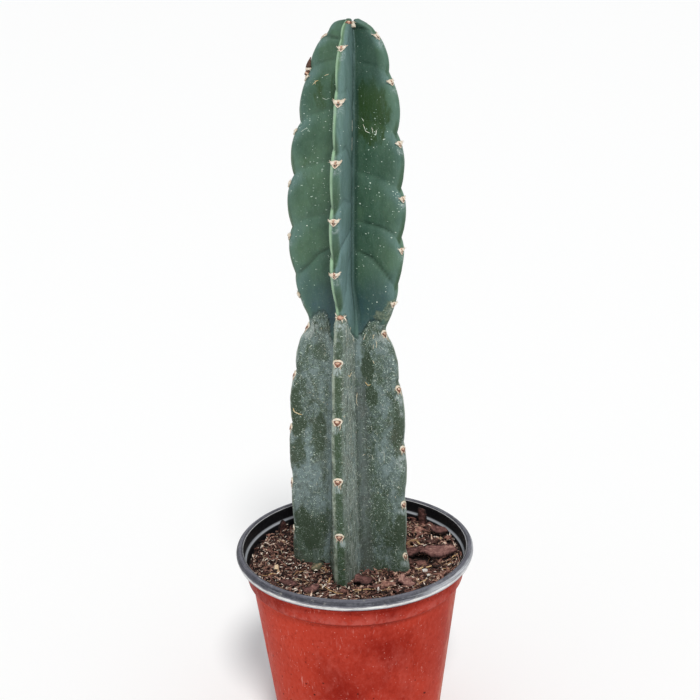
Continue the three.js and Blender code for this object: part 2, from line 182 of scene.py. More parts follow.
# The rim's tones, from its lower edge over its top to the inside; the near-white band from 0.14 to 0.28 is a
# painted highlight, the reflection of the light on the rolled lip
RIM_BANDS = [
    (0.0, srgb(96, 92, 98)),
    (0.07, srgb(176, 174, 182)),
    (0.14, srgb(206, 205, 208)),
    (0.19, srgb(244, 244, 240)),
    (0.28, srgb(236, 237, 236)),
    (0.33, srgb(150, 150, 156)),
    (0.4, srgb(84, 85, 94)),
    (0.5, srgb(58, 59, 67)),
    (0.64, srgb(60, 61, 69)),
    (0.75, srgb(92, 92, 102)),
    (0.9, srgb(104, 104, 114)),
    (1.0, srgb(58, 58, 64)),
]
# Where on the rim the window's streak of light runs, and how bright it is there
LIT_BAND = [(0.28, 0.0), (0.4, 0.95), (0.56, 0.8), (0.72, 0.0)]


class Finish:
    """A procedural finish that is built up, node by node, on one shader."""

    def __init__(self, name, bending=1.45):
        self.material = bpy.data.materials.new(name)
        self.material.use_nodes = True
        self.tree = self.material.node_tree
        self.shader = self.tree.nodes["Principled BSDF"]
        self.place = self.tree.nodes.new("ShaderNodeTexCoord").outputs["Object"]
        self.shader.inputs["IOR"].default_value = bending

    def set(self, socket, value):
        """Gives a socket a constant, or joins it to another node's output. A name stands for a value
        that the mesh carries from point to point."""
        if isinstance(value, str):
            value = self.measured(value)
        if isinstance(value, bpy.types.NodeSocket):
            self.tree.links.new(value, socket)
        else:
            socket.default_value = value

    def node(self, kind, inputs, **settings):
        made = self.tree.nodes.new(kind)
        for key, value in settings.items():
            setattr(made, key, value)
        for key, value in inputs.items():
            self.set(made.inputs[key], value)
        return made

    def measured(self, name):
        return self.node("ShaderNodeAttribute", {}, attribute_name=name).outputs["Fac"]

    def stretched(self, stretch):
        """The place in the frame, scaled along each axis."""
        made = self.node("ShaderNodeVectorMath", {0: self.place, 1: stretch}, operation="MULTIPLY")
        return made.outputs[0]

    def clouds(self, scale, detail=3.0, rough=0.55, stretch=(1, 1, 1), bend=0.0):
        inputs = {"Vector": self.stretched(stretch), "Scale": scale}
        inputs |= {"Detail": detail, "Roughness": rough, "Distortion": bend}
        return self.node("ShaderNodeTexNoise", inputs).outputs["Fac"]

    def dots(self, scale, radius, share, stretch=(1, 1, 1)):
        """Small dots at random: 1 in a dot. scale is cells a metre, radius a share of a cell."""
        cells = self.node("ShaderNodeTexVoronoi", {"Vector": self.stretched(stretch), "Scale": scale})
        near = self.step(cells.outputs["Distance"], radius, radius * 0.6)
        pick = self.node("ShaderNodeSeparateColor", {"Color": cells.outputs["Color"]}).outputs["Red"]
        return self.times(near, self.step(pick, 1 - share, 1 - share + 0.02))

    def step(self, value, low, high, to_low=0.0, to_high=1.0):
        inputs = {"Value": value, "From Min": low, "From Max": high, "To Min": to_low, "To Max": to_high}
        return self.node("ShaderNodeMapRange", inputs, interpolation_type="SMOOTHSTEP").outputs["Result"]

    def sum(self, a, b, operation="ADD"):
        return self.node("ShaderNodeMath", {0: a, 1: b}, operation=operation).outputs[0]

    def times(self, a, b):
        return self.sum(a, b, "MULTIPLY")

    def blend(self, share, a, b):
        return self.node("ShaderNodeMix", {0: share, 2: a, 3: b}).outputs[0]

    def mix(self, share, a, b):
        """A mix of two colours; blend is the same for plain values."""
        return self.node("ShaderNodeMix", {0: share, 6: a, 7: b}, data_type="RGBA").outputs[2]

    def washed(self, tone, washes):
        """A tone under washes of colour, each as a value or measure, its strength and its colour."""
        for share, strength, colour in washes:
            tone = self.mix(self.times(share, strength), tone, colour)
        return tone

    def ramp(self, value, stops):
        made = self.node("ShaderNodeValToRGB", {"Fac": value})
        band = made.color_ramp
        for i, (position, colour) in enumerate(stops):
            stop = band.elements[i] if i < 2 else band.elements.new(position)
            stop.position = position
            stop.color = colour
        return made.outputs["Color"]

    def relief(self, height, depth, under=None):
        """Fine relief, depth metres deep, added to the relief under it."""
        inputs = {"Height": height, "Distance": depth, "Strength": 1.0}
        if under is not None:
            inputs["Normal"] = under
        return self.node("ShaderNodeBump", inputs).outputs["Normal"]

    def done(self, colour, rough, relief=None, gloss=0.5):
        self.set(self.shader.inputs["Base Color"], colour)
        self.set(self.shader.inputs["Roughness"], rough)
        self.set(self.shader.inputs["Specular IOR Level"], gloss)
        if relief is not None:
            self.set(self.shader.inputs["Normal"], relief)
        return self.material


def make_piece(name, points, faces, finishes, slot, replaces=(), smooth=True, measures=None, kinds=None):
    """A piece of the plant from points in millimetres, riding on the plant's one body."""
    mesh = bpy.data.meshes.new(name)
    mesh.from_pydata((np.asarray(points) * MM).tolist(), [], faces)
    for finish in finishes:
        mesh.materials.append(finish)
    if kinds is not None:
        mesh.polygons.foreach_set("material_index", np.asarray(kinds, dtype=np.int32))
    mesh.polygons.foreach_set("use_smooth", np.full(len(mesh.polygons), smooth))
    for key, values in (measures or {}).items():
        measure = mesh.attributes.new(key, "FLOAT", "POINT")
        measure.data.foreach_set("value", np.asarray(values, dtype=np.float32))
    mesh.validate()
    piece = bpy.data.objects.new(name, mesh)
    bpy.context.scene.collection.objects.link(piece)
    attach(piece, "root")
    if replaces:
        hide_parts(*replaces)
    return piece


def rounded_profile(corners):
    """A profile of (radius, height, reach) rows, each corner rounded over its reach."""
    points = [corners[0][:2]]
    for before, corner, after in zip(corners, corners[1:], corners[2:]):
        middle = np.array(corner[:2], float)
        to_before = np.array(before[:2]) - middle
        to_after = np.array(after[:2]) - middle
        reach = min(corner[2], 0.48 * np.linalg.norm(to_before), 0.48 * np.linalg.norm(to_after))
        start = middle + to_before / np.linalg.norm(to_before) * reach
        end = middle + to_after / np.linalg.norm(to_after) * reach
        for share in np.linspace(0, 1, CORNER_STEPS):
            points.append((1 - share) ** 2 * start + 2 * share * (1 - share) * middle + share**2 * end)
    points.append(corners[-1][:2])
    return np.array(points)


def bands(count, sides):
    """The faces between rings of points that follow one another."""
    faces = []
    for low in range(0, (count - 1) * sides, sides):
        for j in range(sides):
            k = (j + 1) % sides
            faces.append((low + j, low + k, low + sides + k, low + sides + j))
    return faces


def closed_skin(rings, start, end):
    """A closed skin over rings of points, from a point inside the first to one inside the last."""
    count, sides = np.shape(rings)[:2]
    points = np.vstack([np.reshape(rings, (-1, 3)), [start, end]])
    faces = bands(count, sides)
    last_ring = (count - 1) * sides
    for j in range(sides):
        k = (j + 1) % sides
        faces.append((count * sides, k, j))
        faces.append((count * sides + 1, last_ring + j, last_ring + k))
    return points, faces


def turned(profile, sides):
    """A closed skin from a profile that starts and ends on the axis, turned about it."""
    angles = np.arange(sides) / sides * 2 * np.pi
    radii, heights = profile[1:-1, :1], profile[1:-1, 1:]
    rings = np.stack([radii * np.cos(angles), radii * np.sin(angles), heights + 0 * angles], axis=-1)
    return closed_skin(rings, (0, 0, profile[0][1]), (0, 0, profile[-1][1]))


def joined(parts):
    """Several (points, faces) pairs as one."""
    points = []
    faces = []
    start = 0
    for part_points, part_faces in parts:
        points.append(part_points)
        faces += [tuple(i + start for i in face) for face in part_faces]
        start += len(part_points)
    return np.vstack(points), faces


def smooth(low, high, value):
    """Rises softly from 0 to 1 as the value passes from low to high."""
    share = np.clip((value - low) / (high - low), 0, 1)
    return share * share * (3 - 2 * share)


def bell(value, middle, width):
    """1 where the value is at the middle, and fading to 0 on both sides of it."""
    return np.exp(-(((value - middle) / width) ** 2))


OUTER_CORNERS = [
    (0, FLOOR_LIFT, 0),
    (FOOT_RING_INNER - 1.5, FLOOR_LIFT, 1.0),
    (FOOT_RING_INNER, 0, 0.5),
    (FOOT_RADIUS - 2, 0, 0.8),
    (FOOT_RADIUS, 2, 1.6),
    (WALL_TOP_RADIUS, STEP_HEIGHT - 2, 1.2),
    (COLLAR_RADIUS, STEP_HEIGHT, 1.0),
    (LEDGE_RADIUS, LEDGE_HEIGHT - 1.5, 1.0),
    (LIP_RADIUS, LEDGE_HEIGHT, 0.8),
    (LIP_RADIUS, POT_HEIGHT - 7.0, 0.5),
]
LIP_CORNERS = [
    (RIM_RADIUS - 1.2, POT_HEIGHT - 7.0, 0.3),
    (RIM_RADIUS - 0.8, POT_HEIGHT - 6.2, 0.4),
    (RIM_RADIUS - 0.1, POT_HEIGHT - 4.6, 0.8),
    (RIM_RADIUS, POT_HEIGHT - 2.5, 1.0),
    (RIM_RADIUS - 0.9, POT_HEIGHT - 0.9, 0.9),
    (RIM_RADIUS - 2.4, POT_HEIGHT - 0.05, 0.8),
    (RIM_RADIUS - 3.3, POT_HEIGHT - 0.3, 0.4),
]
INNER_CORNERS = [
    (LIP_RADIUS - 1.4, POT_HEIGHT - 1.6, 0.5),
    (LIP_RADIUS - POT_WALL, LEDGE_HEIGHT + 0.8, 0.6),
    (LEDGE_RADIUS - POT_WALL, LEDGE_HEIGHT - 0.7, 0.7),
    (COLLAR_RADIUS - POT_WALL, STEP_HEIGHT + 0.8, 1.0),
    (WALL_TOP_RADIUS - POT_WALL, STEP_HEIGHT - 1.6, 1.0),
    (FOOT_RADIUS + 0.1 - POT_WALL, 2.8, 1.2),
    (FOOT_RADIUS - 2.6, POT_WALL, 0.8),
    (FOOT_RING_INNER + 0.7, POT_WALL, 0.4),
    (FOOT_RING_INNER - 0.8, FLOOR_LIFT + POT_WALL, 0.8),
    (0, FLOOR_LIFT + POT_WALL, 0),
]


def terracotta_finish():
    """Satin terracotta plastic with chalky rubbed places, fine scratches and specks of dust. Painted light
    makes its front paler towards the left and right, painted shade darkens the crease under the step and the
    wall under the lip, and a painted highlight runs down its right side as a pale streak.
    """
    skin = Finish("terracotta plastic", 1.36)
    tone = skin.mix(skin.step(skin.clouds(18, 4), 0.38, 0.62), TERRACOTTA_DEEP, TERRACOTTA)
    smears = skin.step(skin.clouds(75, 5, 0.68, (1, 1, 0.6), 0.5), 0.48, 0.68)
    mottle = skin.clouds(400, 5, 0.72, (1, 1, 0.7))
    tone = skin.washed(tone, [
        # painted light on the left and right of the front, weaker on the collar
        ("painted_side_light", skin.step("collar", 0, 1, 1.0, 0.15), TERRACOTTA_SIDE_LIT),
        (smears, skin.step("collar", 0, 1, 0.2, 0.0), TERRACOTTA_CHALKY),
        (skin.step(mottle, 0.5, 0.68), skin.step("collar", 0, 1, 0.24, 0.1), TERRACOTTA_CHALKY),
        (skin.step(mottle, 0.5, 0.3), skin.step("collar", 0, 1, 0.4, 0.7), TERRACOTTA_HOLLOW),
    ])
    scratches = skin.step(skin.clouds(420, 2, 0.5, (1.4, 1.4, 0.2), 1.4), 0.63, 0.72)
    scratches = skin.times(scratches, skin.step(skin.clouds(30, 2), 0.42, 0.58))
    specks = skin.sum(skin.dots(300, 0.15, 0.3), skin.dots(560, 0.2, 0.22))
    pale = skin.sum(skin.times(scratches, 0.5), skin.times(specks, 0.42))
    tone = skin.mix(pale, tone, SCRATCH_PALE)
    height = skin.node("ShaderNodeSeparateXYZ", {0: skin.place}).outputs["Z"]
    dirt = skin.times(skin.dots(190, 0.17, 0.34), skin.step(height, 0.06, 0.1, 1.0, 0.3))
    # Painted highlight: thin upright streaks of reflected light down the pot's right side.
    edge_reflection = skin.times("edge_reflection", skin.step(skin.clouds(300, 4, 0.7, (1, 1, 0.06)), 0.4, 0.6))
    tone = skin.washed(tone, [
        (dirt, 0.85, DIRT),
        # painted shade in the crease under the step and under the lip
        ("painted_crease_shade", 0.7, TERRACOTTA_CREASE_SHADE),
        ("edge", skin.step(skin.clouds(150, 4, 0.7), 0.4, 0.62, 0.03, 0.3), TERRACOTTA_WORN),
        # painted highlight streak down the right side
        (edge_reflection, 0.85, TERRACOTTA_REFLECTED),
    ])
    ripple = skin.clouds(26, 2, 0.4, (1, 1, 0.12))
    relief = skin.relief(skin.clouds(900, 3), 0.00006, skin.relief(ripple, 0.0009))
    return skin.done(tone, skin.step(smears, 0, 1, 0.4, 0.62), relief, 0.03)


def black_finish():
    """Black plastic, greyed by light and wear on the rim. Along the rim's lower edge it is painted pale as a
    highlight, the reflection of the light, and a thin painted highlight runs along the inner ledge.
    """
    skin = Finish("black plastic")
    whole = skin.place
    xyz = skin.node("ShaderNodeSeparateXYZ", {0: whole}).outputs
    around = {0: xyz[0], 1: xyz[1], 2: skin.times("lip", 0.11)}
    skin.place = skin.node("ShaderNodeCombineXYZ", around).outputs[0]
    drawn = skin.clouds(115, 5, 0.72)
    lines = skin.clouds(60, 4, 0.6, (1, 1, 3.2))
    skin.place = whole
    along = skin.sum("lip", skin.step(drawn, 0.3, 0.7, -0.06, 0.06))
    streak = skin.ramp(along, [(place, (bright, bright, bright, 1)) for place, bright in LIT_BAND])
    rim = skin.washed(skin.ramp(along, RIM_BANDS), [
        (skin.step(skin.clouds(380, 4, 0.65), 0.35, 0.72), 0.22, RIM_FINE),
        (skin.step(lines, 0.5, 0.4), skin.step("lip", 0.05, 0.35, 0.5, 0.3), RIM_GROOVE),
        (skin.step(lines, 0.56, 0.7), skin.step("lip", 0.3, 0.45, 0.2, 0.55), RIM_SHINE),
        (skin.times("lit", streak), skin.step(lines, 0.4, 0.58, 0.35, 1.0), RIM_LIT),
        (skin.step(skin.clouds(160, 5, 0.7, (1, 1, 1.6), 0.8), 0.58, 0.66), 0.35, RIM_SCUFF),
    ])
    inside = skin.washed(BLACK_PLASTIC, [
        (skin.step(skin.clouds(700, 3, 0.6), 0.55, 0.72), 0.4, BLACK_DUSTY),
        ("ledge", 1.0, LEDGE_HIGHLIGHT),
    ])
    tone = skin.mix(skin.step("lip", -0.02, -0.005), inside, rim)
    return skin.done(tone, 0.48, skin.relief(drawn, 0.0003), 0.22)


def make_pot():
    outer = rounded_profile(OUTER_CORNERS + LIP_CORNERS[:1])[:-1]
    lip = rounded_profile(OUTER_CORNERS[-1:] + LIP_CORNERS + INNER_CORNERS[:1])[1:-1]
    inner = rounded_profile(LIP_CORNERS[-1:] + INNER_CORNERS)[1:]
    profile = np.vstack([outer, lip, inner])
    points, faces = turned(profile, POT_SIDES)
    run = np.concatenate([[0], np.cumsum(np.linalg.norm(np.diff(lip, axis=0), axis=1))])
    heights = profile[:, 1]
    is_outer = np.arange(len(profile)) < len(outer)
    is_inner = np.arange(len(profile)) >= len(outer) + len(lip)
    lip_share = np.concatenate([np.full(len(outer), -0.1), run / run[-1], np.full(len(inner), -0.1)])
    around = np.arange(POT_SIDES) / POT_SIDES * 2 * np.pi
    to_right, to_front = np.cos(around), -np.sin(around)
    # At the sides towards the front the rim's bands lie further up the lip, so that the painted highlight
    # widens there as a reflection would
    seen = np.abs(lip_share[:, None]) ** (1 + 0.3 * to_right**2 * (to_front > -0.3))
    lip_share = np.where(lip_share[:, None] > 0, seen, lip_share[:, None])
    # Painted highlight: a thin bright line on the inner ledge, where its upper face catches the light, with a
    # little wear.
    on_ledge = bell(heights, LEDGE_HEIGHT, 0.42) * is_inner
    # Painted shade: a dark line in the crease under the step, and darkening on the outer wall under the rim's
    # lip.
    shade_in_crease = bell(heights, STEP_HEIGHT - 0.9, 0.9)
    shade_in_crease = np.maximum(shade_in_crease, smooth(LEDGE_HEIGHT - 1.0, LEDGE_HEIGHT + 1.5, heights)) * is_outer
    on_edge = bell(heights, STEP_HEIGHT + 0.9, 0.8) * is_outer
    on_collar = smooth(STEP_HEIGHT - 0.5, STEP_HEIGHT + 0.5, heights)
    # Painted light: the pot's front is paler towards its left and, less so, its right, as if lit from those
    # sides; only on the outer wall.
    painted_side_light = 0.75 * smooth(0.1, 0.85, -to_right) + 0.45 * smooth(0.2, 0.8, to_right)
    flat = np.ones(POT_SIDES)
    reflection_rows = is_outer * (heights < STEP_HEIGHT + 8)
    measures = {
        "lip": lip_share,
        "ledge": np.outer(on_ledge, flat),
        "collar": np.outer(on_collar, flat),
        "painted_crease_shade": np.outer(shade_in_crease, flat),
        "edge": np.outer(on_edge, flat),
        "painted_side_light": np.outer(is_outer, painted_side_light * smooth(-0.2, 0.3, to_front)),
        "lit": np.outer(lip_share[:, 0] > -0.05, smooth(0.35, 0.85, to_right) * smooth(-0.25, 0.1, to_front)),
        "edge_reflection": np.outer(reflection_rows, bell(np.degrees(around), REFLECTION_BEARING, REFLECTION_WIDTH)),
    }
    for key, values in measures.items():
        measures[key] = np.append(values[1:-1], [values[0, 0], values[-1, 0]])
    is_black = np.arange(len(profile) - 3) >= len(outer) - 1
    kinds = np.append(np.repeat(is_black, POT_SIDES), [0, 1] * POT_SIDES)
    finishes = [terracotta_finish(), black_finish()]
    pot = make_piece("nursery_pot", points, faces, finishes, "pot", ["pot"], True, measures, kinds)
    low, high = DRAIN_CUT
    plug = np.array([(0, low), (DRAIN_HOLE_RADIUS, low), (DRAIN_HOLE_RADIUS, high), (0, high)])
    plug_points, plug_faces = turned(plug, DRAIN_HOLE_SIDES)
    cutters = []
    for i in range(DRAIN_HOLES):
        angle = i / DRAIN_HOLES * 2 * math.pi
        place = (DRAIN_CIRCLE * math.cos(angle), DRAIN_CIRCLE * math.sin(angle), 0)
        cutters.append((plug_points + place, plug_faces))
    cutter = make_piece("cutter", *joined(cutters), [], "pot")
    cut = pot.modifiers.new("drain holes", "BOOLEAN")
    cut.operation = "DIFFERENCE"
    cut.object = cutter
    bpy.context.view_layer.objects.active = pot
    bpy.ops.object.modifier_apply(modifier=cut.name)
    bpy.data.objects.remove(cutter)


make_pot()


# The stem. One columnar stem of firm green flesh under a waxy skin, grown in two flushes with a
# waist between them; five ribs run up it, and each rib swells into a lobe under every spine cushion.
SOIL_LEVEL = 126.3
STEM_FOOT = (-0.6, 9.0)
STEM_LEAN = 8.0
TIP_SHIFT = 0.5
STEM_BOTTOM = -43.0
STEM_TOP = 339.5
FRONT, RIGHT, BACK_RIGHT, BACK_LEFT, LEFT = range(5)
HALVES = [(rib, side) for rib in range(5) for side in (-1, 1)]
RIB_BEARINGS = [-13, 58, 136, 200, 265]
RIB_REACHES = [1.0, 0.972, 0.96, 1.0, 0.975]
RIB_WAISTS = [172, 157, 158, 163, 160]
CUSHION_HEIGHTS = [
    [-8, 32, 69.5, 108, 144, 170, 199, 231, 264, 297, 326],
    [9, 45, 82.5, 121.5, 155.5, 175.5, 209, 239.5, 271.5, 306, 331],
    [-19, 20, 58.5, 98, 133, 162, 190, 222, 254, 288, 319],
    [-13, 26, 64, 103, 138, 166, 195, 227, 260, 292, 322],
    [18.5, 52, 89.5, 125, 156.5, 177, 214, 246, 277, 308, 331],
]
NOTCH_ABOVE_CUSHION = 3.2
# Two notches by the waist that stand higher above their cushions: rib, cushion, height above it
HIGH_NOTCHES = {(4, 5): 11.0, (1, 5): 8.0}
# Height above the soil, margin radius, valley radius, half the margin's thickness, valley fillet,
# notch depth, and how far the valley dips below the margin at the tip
STATIONS = np.array(
    [
        [-41, 27, 14, 5, 4, 0, 0],
        [-25, 37, 18.5, 5, 5, 0, 0],
        [0, 40.3, 19.5, 4.6, 5, 1, 0],
        [35, 40.2, 17.5, 4.3, 5, 1.4, 0],
        [70, 40.7, 16, 4, 5, 1.9, 0],
        [105, 39.5, 14.5, 3.9, 4.5, 2.3, 0],
        [135, 35.6, 13.5, 3.8, 4, 2.2, 0],
        [150, 31.5, 12.5, 3.6, 3.5, 1.2, 0],
        [161, 25.8, 11, 3.2, 3, 0, 0],
        [172, 30, 9.6, 2.9, 2.6, 0.7, 0],
        [188, 35, 9, 2.8, 2.5, 2, 0],
        [205, 37.7, 8.8, 2.9, 2.5, 3.2, 0],
        [232, 38.7, 8.6, 2.9, 2.5, 4, 0],
        [262, 36.7, 8.4, 2.9, 2.5, 4, 0],
        [290, 31.8, 7.8, 2.8, 2.4, 3.6, 0],
        [316, 25.2, 6.8, 2.7, 2, 1.8, 0],
        [325.5, 21.2, 5.6, 2.5, 1.6, 1.4, 1],
        [331.5, 17.4, 4.4, 2.3, 1.3, 1, 3],
        [336.5, 13, 3, 2, 1, 0.2, 4.5],
        [339.5, 7.6, 1.7, 1.5, 0.7, 0, 5],
    ]
)
MARGIN, VALLEY, HALF_THICKNESS, FILLET, NOTCH, DIP = range(1, 7)
FOOT_SPREAD = 2.0
# How far each rib's margin stands out or in near the tip, as height and millimetres
TIP_CHANGES = [
    [(330, 0), (336.5, 1.0), (339.5, 1.4)],
    [(330, 0), (333.6, -0.8), (336.5, -1.8), (339.5, -4.4)],
    [(330, 0), (336.5, -1.2), (339.5, -2.5)],
    [(330, 0), (339.5, 0)],
    [(329, 0), (331.3, -0.7), (333.6, -1.4), (336.5, -0.5), (338.2, 0.4), (339, -0.2), (339.5, -2.6)],
]
# Lobes that are fuller than their neighbours: rib, notch that it ends at, millimetres
FULL_LOBES = {(1, 10): 1.4}
# The front rib twists to the left as it rises, and the valley on its right lies nearer to it
FRONT_TWIST = [(160, 0), (185, -2.2), (290, -2.0), (335, -7)]
VALLEY_TURN = 9.0
WAIST_HEIGHT = 161.0
WAIST_REACH = 38.0
CROWN_DIP = 2.2
RING_STEP = 0.87
CROWN_FILL = 0.62
# How far a fold climbs on its way from a rib's margin into the valley, by height
FOLD_RISES = [(-43, 2), (100, 3), (150, 4), (165, 8), (185, 19)]
FOLD_RISES += [(203, 27), (214, 19), (226, 12), (300, 11), (325, 6)]
# How far inward a place is, from 0 on the crest to 1 in the valley, by its place along the rib's half
INWARD_AT = ([0, 0.5, 1, 1.5, 2, 3], [0, 0.03, 0.09, 0.5, 0.9, 1.0])
# Flanks that meet high up between two ribs at the tip, where the crown is closed
CLOSED_CROWN = {(LEFT, 1): 1.0, (FRONT, -1): 1.0}


def station(height, column):
    """The station table at heights, read along a smooth curve."""
    height = np.clip(height, STATIONS[0, 0], STATIONS[-1, 0])
    after = np.clip(np.searchsorted(STATIONS[:, 0], height), 1, len(STATIONS) - 1)
    before = after - 1
    slopes = np.empty(len(STATIONS))
    for i in range(len(STATIONS)):
        low, high = STATIONS[max(i - 1, 0)], STATIONS[min(i + 1, len(STATIONS) - 1)]
        slopes[i] = (high[column] - low[column]) / (high[0] - low[0])
    span = STATIONS[after, 0] - STATIONS[before, 0]
    t = (height - STATIONS[before, 0]) / span
    return (
        (2 * t**3 - 3 * t**2 + 1) * STATIONS[before, column]
        + (t**3 - 2 * t**2 + t) * span * slopes[before]
        + (3 * t**2 - 2 * t**3) * STATIONS[after, column]
        + (t**3 - t**2) * span * slopes[after]
    )


def axis_at(height):
    """The stem's axis at heights: it leans to the right as it rises, and its tip bends back."""
    height = np.asarray(height, float)
    lean = STEM_LEAN * (np.maximum(height, 0) / STEM_TOP) ** 2.2
    back = TIP_SHIFT * np.clip((height - 330) / 9.5, 0, 1) ** 1.3
    return STEM_FOOT[0] + lean - back, np.full_like(height, STEM_FOOT[1])


def notch_heights(rib):
    cushions = np.array(CUSHION_HEIGHTS[rib], float)
    above = np.array([HIGH_NOTCHES.get((rib, i), NOTCH_ABOVE_CUSHION) for i in range(len(cushions))])
    raised = cushions + above * (1 - smooth(322, 338, cushions))
    return np.concatenate([[STEM_BOTTOM], raised, [STEM_TOP]])


def lobe(rib, height):
    """How far a rib's lobe stands out at heights: 0 in a notch, 1 at its fullest. Also how far up
    the lobe each height is, and how far it is above the nearest notch."""
    notches = notch_heights(rib)
    height = np.clip(height, notches[0], notches[-1] - 1e-6)
    above = np.searchsorted(notches, height, side="right")
    low, high = notches[above - 1], notches[above]
    up = (height - low) / (high - low)
    fullness = np.sin(np.pi * np.clip(1 - up, 0, 1) ** 0.88).clip(0, 1) ** 0.75
    nearest = np.where(up < 0.5, height - low, height - high)
    return fullness, up, nearest


def margin_radius(rib, height, crest_height):
    warped = height - (RIB_WAISTS[rib] - WAIST_HEIGHT) * bell(height, WAIST_HEIGHT, WAIST_REACH)
    notched = station(height, NOTCH) * (1 - lobe(rib, crest_height)[0])
    radius = RIB_REACHES[rib] * station(warped, MARGIN) - notched
    radius = radius + np.interp(height, *np.array(TIP_CHANGES[rib], float).T)
    for (full_rib, notch), extra in FULL_LOBES.items():
        if full_rib == rib:
            low, high = notch_heights(rib)[notch - 1 : notch + 1]
            radius = radius + extra * np.sin(np.pi * np.clip((height - low) / (high - low), 0, 1))
    return radius + (FOOT_SPREAD * (1 - smooth(-4, 16, height)) if rib == RIGHT else 0.0)


def bearing_of(rib, height):
    """The way a rib points at heights, in radians from the front towards the right."""
    twist = np.interp(height, *np.array(FRONT_TWIST, float).T) if rib == FRONT else 0.0
    return np.radians(RIB_BEARINGS[rib] + twist)


def half_gap(rib, side, height):
    """The angle from a rib to the valley on one side of it."""
    other = (rib + side) % 5
    gap = ((bearing_of(other, height) - bearing_of(rib, height)) * side) % (2 * np.pi) / 2
    turn = {(FRONT, 1): -VALLEY_TURN, (RIGHT, -1): VALLEY_TURN}.get((rib, side), 0.0)
    return gap + math.radians(turn) * smooth(165, 190, height)


def crest_height_of(rib, side, inward, height):
    """The height on a rib's margin from which the fold through a point of its flank springs."""
    climb = np.interp(height, *np.array(FOLD_RISES, float).T)
    share = inward**0.4
    if rib == LEFT and side == 1:
        climb = climb - 9 * smooth(326, 330, height)
        share = share + (0.3 * inward**0.4 + 0.7 * inward**1.2 - share) * (1 - smooth(212, 226, height))
    if rib == RIGHT and side == -1:
        share = share + (inward**0.55 - share) * (1 - smooth(210, 224, height))
    if rib == FRONT and side == 1:
        tall = 0.6 - 0.35 * smooth(236, 290, height)
        tongue = tall * np.clip(inward / 0.17, 0, 1) ** 0.5 - 1.2 * smooth(0.2, 1.0, inward)
        steep = 1.2 * inward**0.29
        share = share + (steep - share) * smooth(185, 200, height)
        share = share + (tongue - share) * smooth(228, 244, height)
    return height - climb * share


def flank(rib, side, along, height, lift=0.0):
    """The skin on one half of a rib. along runs from 0 on the margin's crest, over its edge at 1
    and the foot of the flank at 2, to 3 in the valley. Gives the points, the directions out of the
    skin, how far inward each point is, and the height that its fold springs from."""
    along, height = np.broadcast_arrays(np.asarray(along, float), np.asarray(height, float))
    gap = half_gap(rib, side, height)
    inward = np.interp(along, *INWARD_AT)
    crest_height = crest_height_of(rib, side, inward, height)
    radius = margin_radius(rib, height, crest_height)
    thick, fillet = station(height, HALF_THICKNESS), station(height, FILLET)
    tip = radius - thick
    closed = CLOSED_CROWN.get((rib, side), 0.0) * smooth(320, 336, height)
    centre = station(height, VALLEY) + fillet
    centre = centre + closed * (CROWN_FILL * np.minimum(radius, station(height, MARGIN)) - centre)
    bottom_x, bottom_y = centre * np.cos(gap), centre * np.sin(gap)
    reach = np.hypot(bottom_x - tip, bottom_y)
    turn = np.arcsin(np.minimum(1, (thick + fillet) / reach))
    touch = np.arctan2(bottom_y, bottom_x - tip) - np.pi / 2 + turn
    part = [along < 1, along < 2]
    angle = np.select(part, [touch * along, touch], touch + (gap - touch) * (along - 2))
    out_x, out_y = np.cos(angle), np.sin(angle)
    from_x, from_y = tip + thick * np.cos(touch), thick * np.sin(touch)
    to_x, to_y = bottom_x - fillet * np.cos(touch), bottom_y - fillet * np.sin(touch)
    share = np.clip(along - 1, 0, 1)
    x = [tip + thick * out_x, from_x + (to_x - from_x) * share]
    y = [thick * out_y, from_y + (to_y - from_y) * share]
    x = np.select(part, x, bottom_x - fillet * out_x)
    y = np.select(part, y, bottom_y - fillet * out_y)
    proud = lift + skin_relief(rib, side, inward, height, crest_height)
    x, y = x + out_x * proud, y + out_y * proud
    bearing = bearing_of(rib, height) - math.pi / 2
    c, s = np.cos(bearing), np.sin(bearing)
    axis_x, axis_y = axis_at(height)
    low = height - station(height, DIP) * inward * (1 - closed) + SOIL_LEVEL
    points = np.stack([axis_x + x * c - y * side * s, axis_y + x * s + y * side * c, low], axis=-1)
    outs = np.stack([out_x * c - out_y * side * s, out_x * s + out_y * side * c, np.zeros_like(x)], axis=-1)
    return points, outs, inward, crest_height


# The border between the flushes, as height by inward share, on the sides that show it
BORDERS = {
    (FRONT, 1): ([0, 0.05, 0.3, 0.66, 1.0], [171, 170.5, 166, 157, 152]),
    (FRONT, -1): ([0, 0.2, 0.6, 1.0], [171, 167, 158, 150]),
    (LEFT, 1): ([0, 0.02, 0.3, 0.55, 0.7, 0.86, 1.0], [161, 162, 165.5, 167.5, 164.5, 153, 148]),
    (RIGHT, -1): ([0, 0.03, 0.3, 0.58, 0.8, 1.0], [163, 161.5, 164, 162.5, 157, 153]),
}


def above_border(rib, side, inward, height):
    """How far above the border between the flushes a place is; it's uneven and dips in valleys."""
    waist = RIB_WAISTS[rib]
    shares, levels = BORDERS.get((rib, side), ([0, 0.5, 1.0], [waist + 1, waist + 2, waist - 10]))
    return height - np.interp(inward, shares, levels) - 0.5 * np.sin(inward * 31 + rib * 2)


def age_of(rib, side, inward, height):
    """0 on the young flush and 1 on the old one."""
    return 1 - smooth(-0.8, 0.8, above_border(rib, side, inward, height))


SEAM_DEPTH = 0.7
PILLOW_SWELL = 1.2
FLANK_SWELL = 0.5
FRONT_FLANK_SWELL = 1.3
FOLD_DEPTH = 0.85
FOLD_WIDTH = 1.0
FOLD_LIP = 2.6
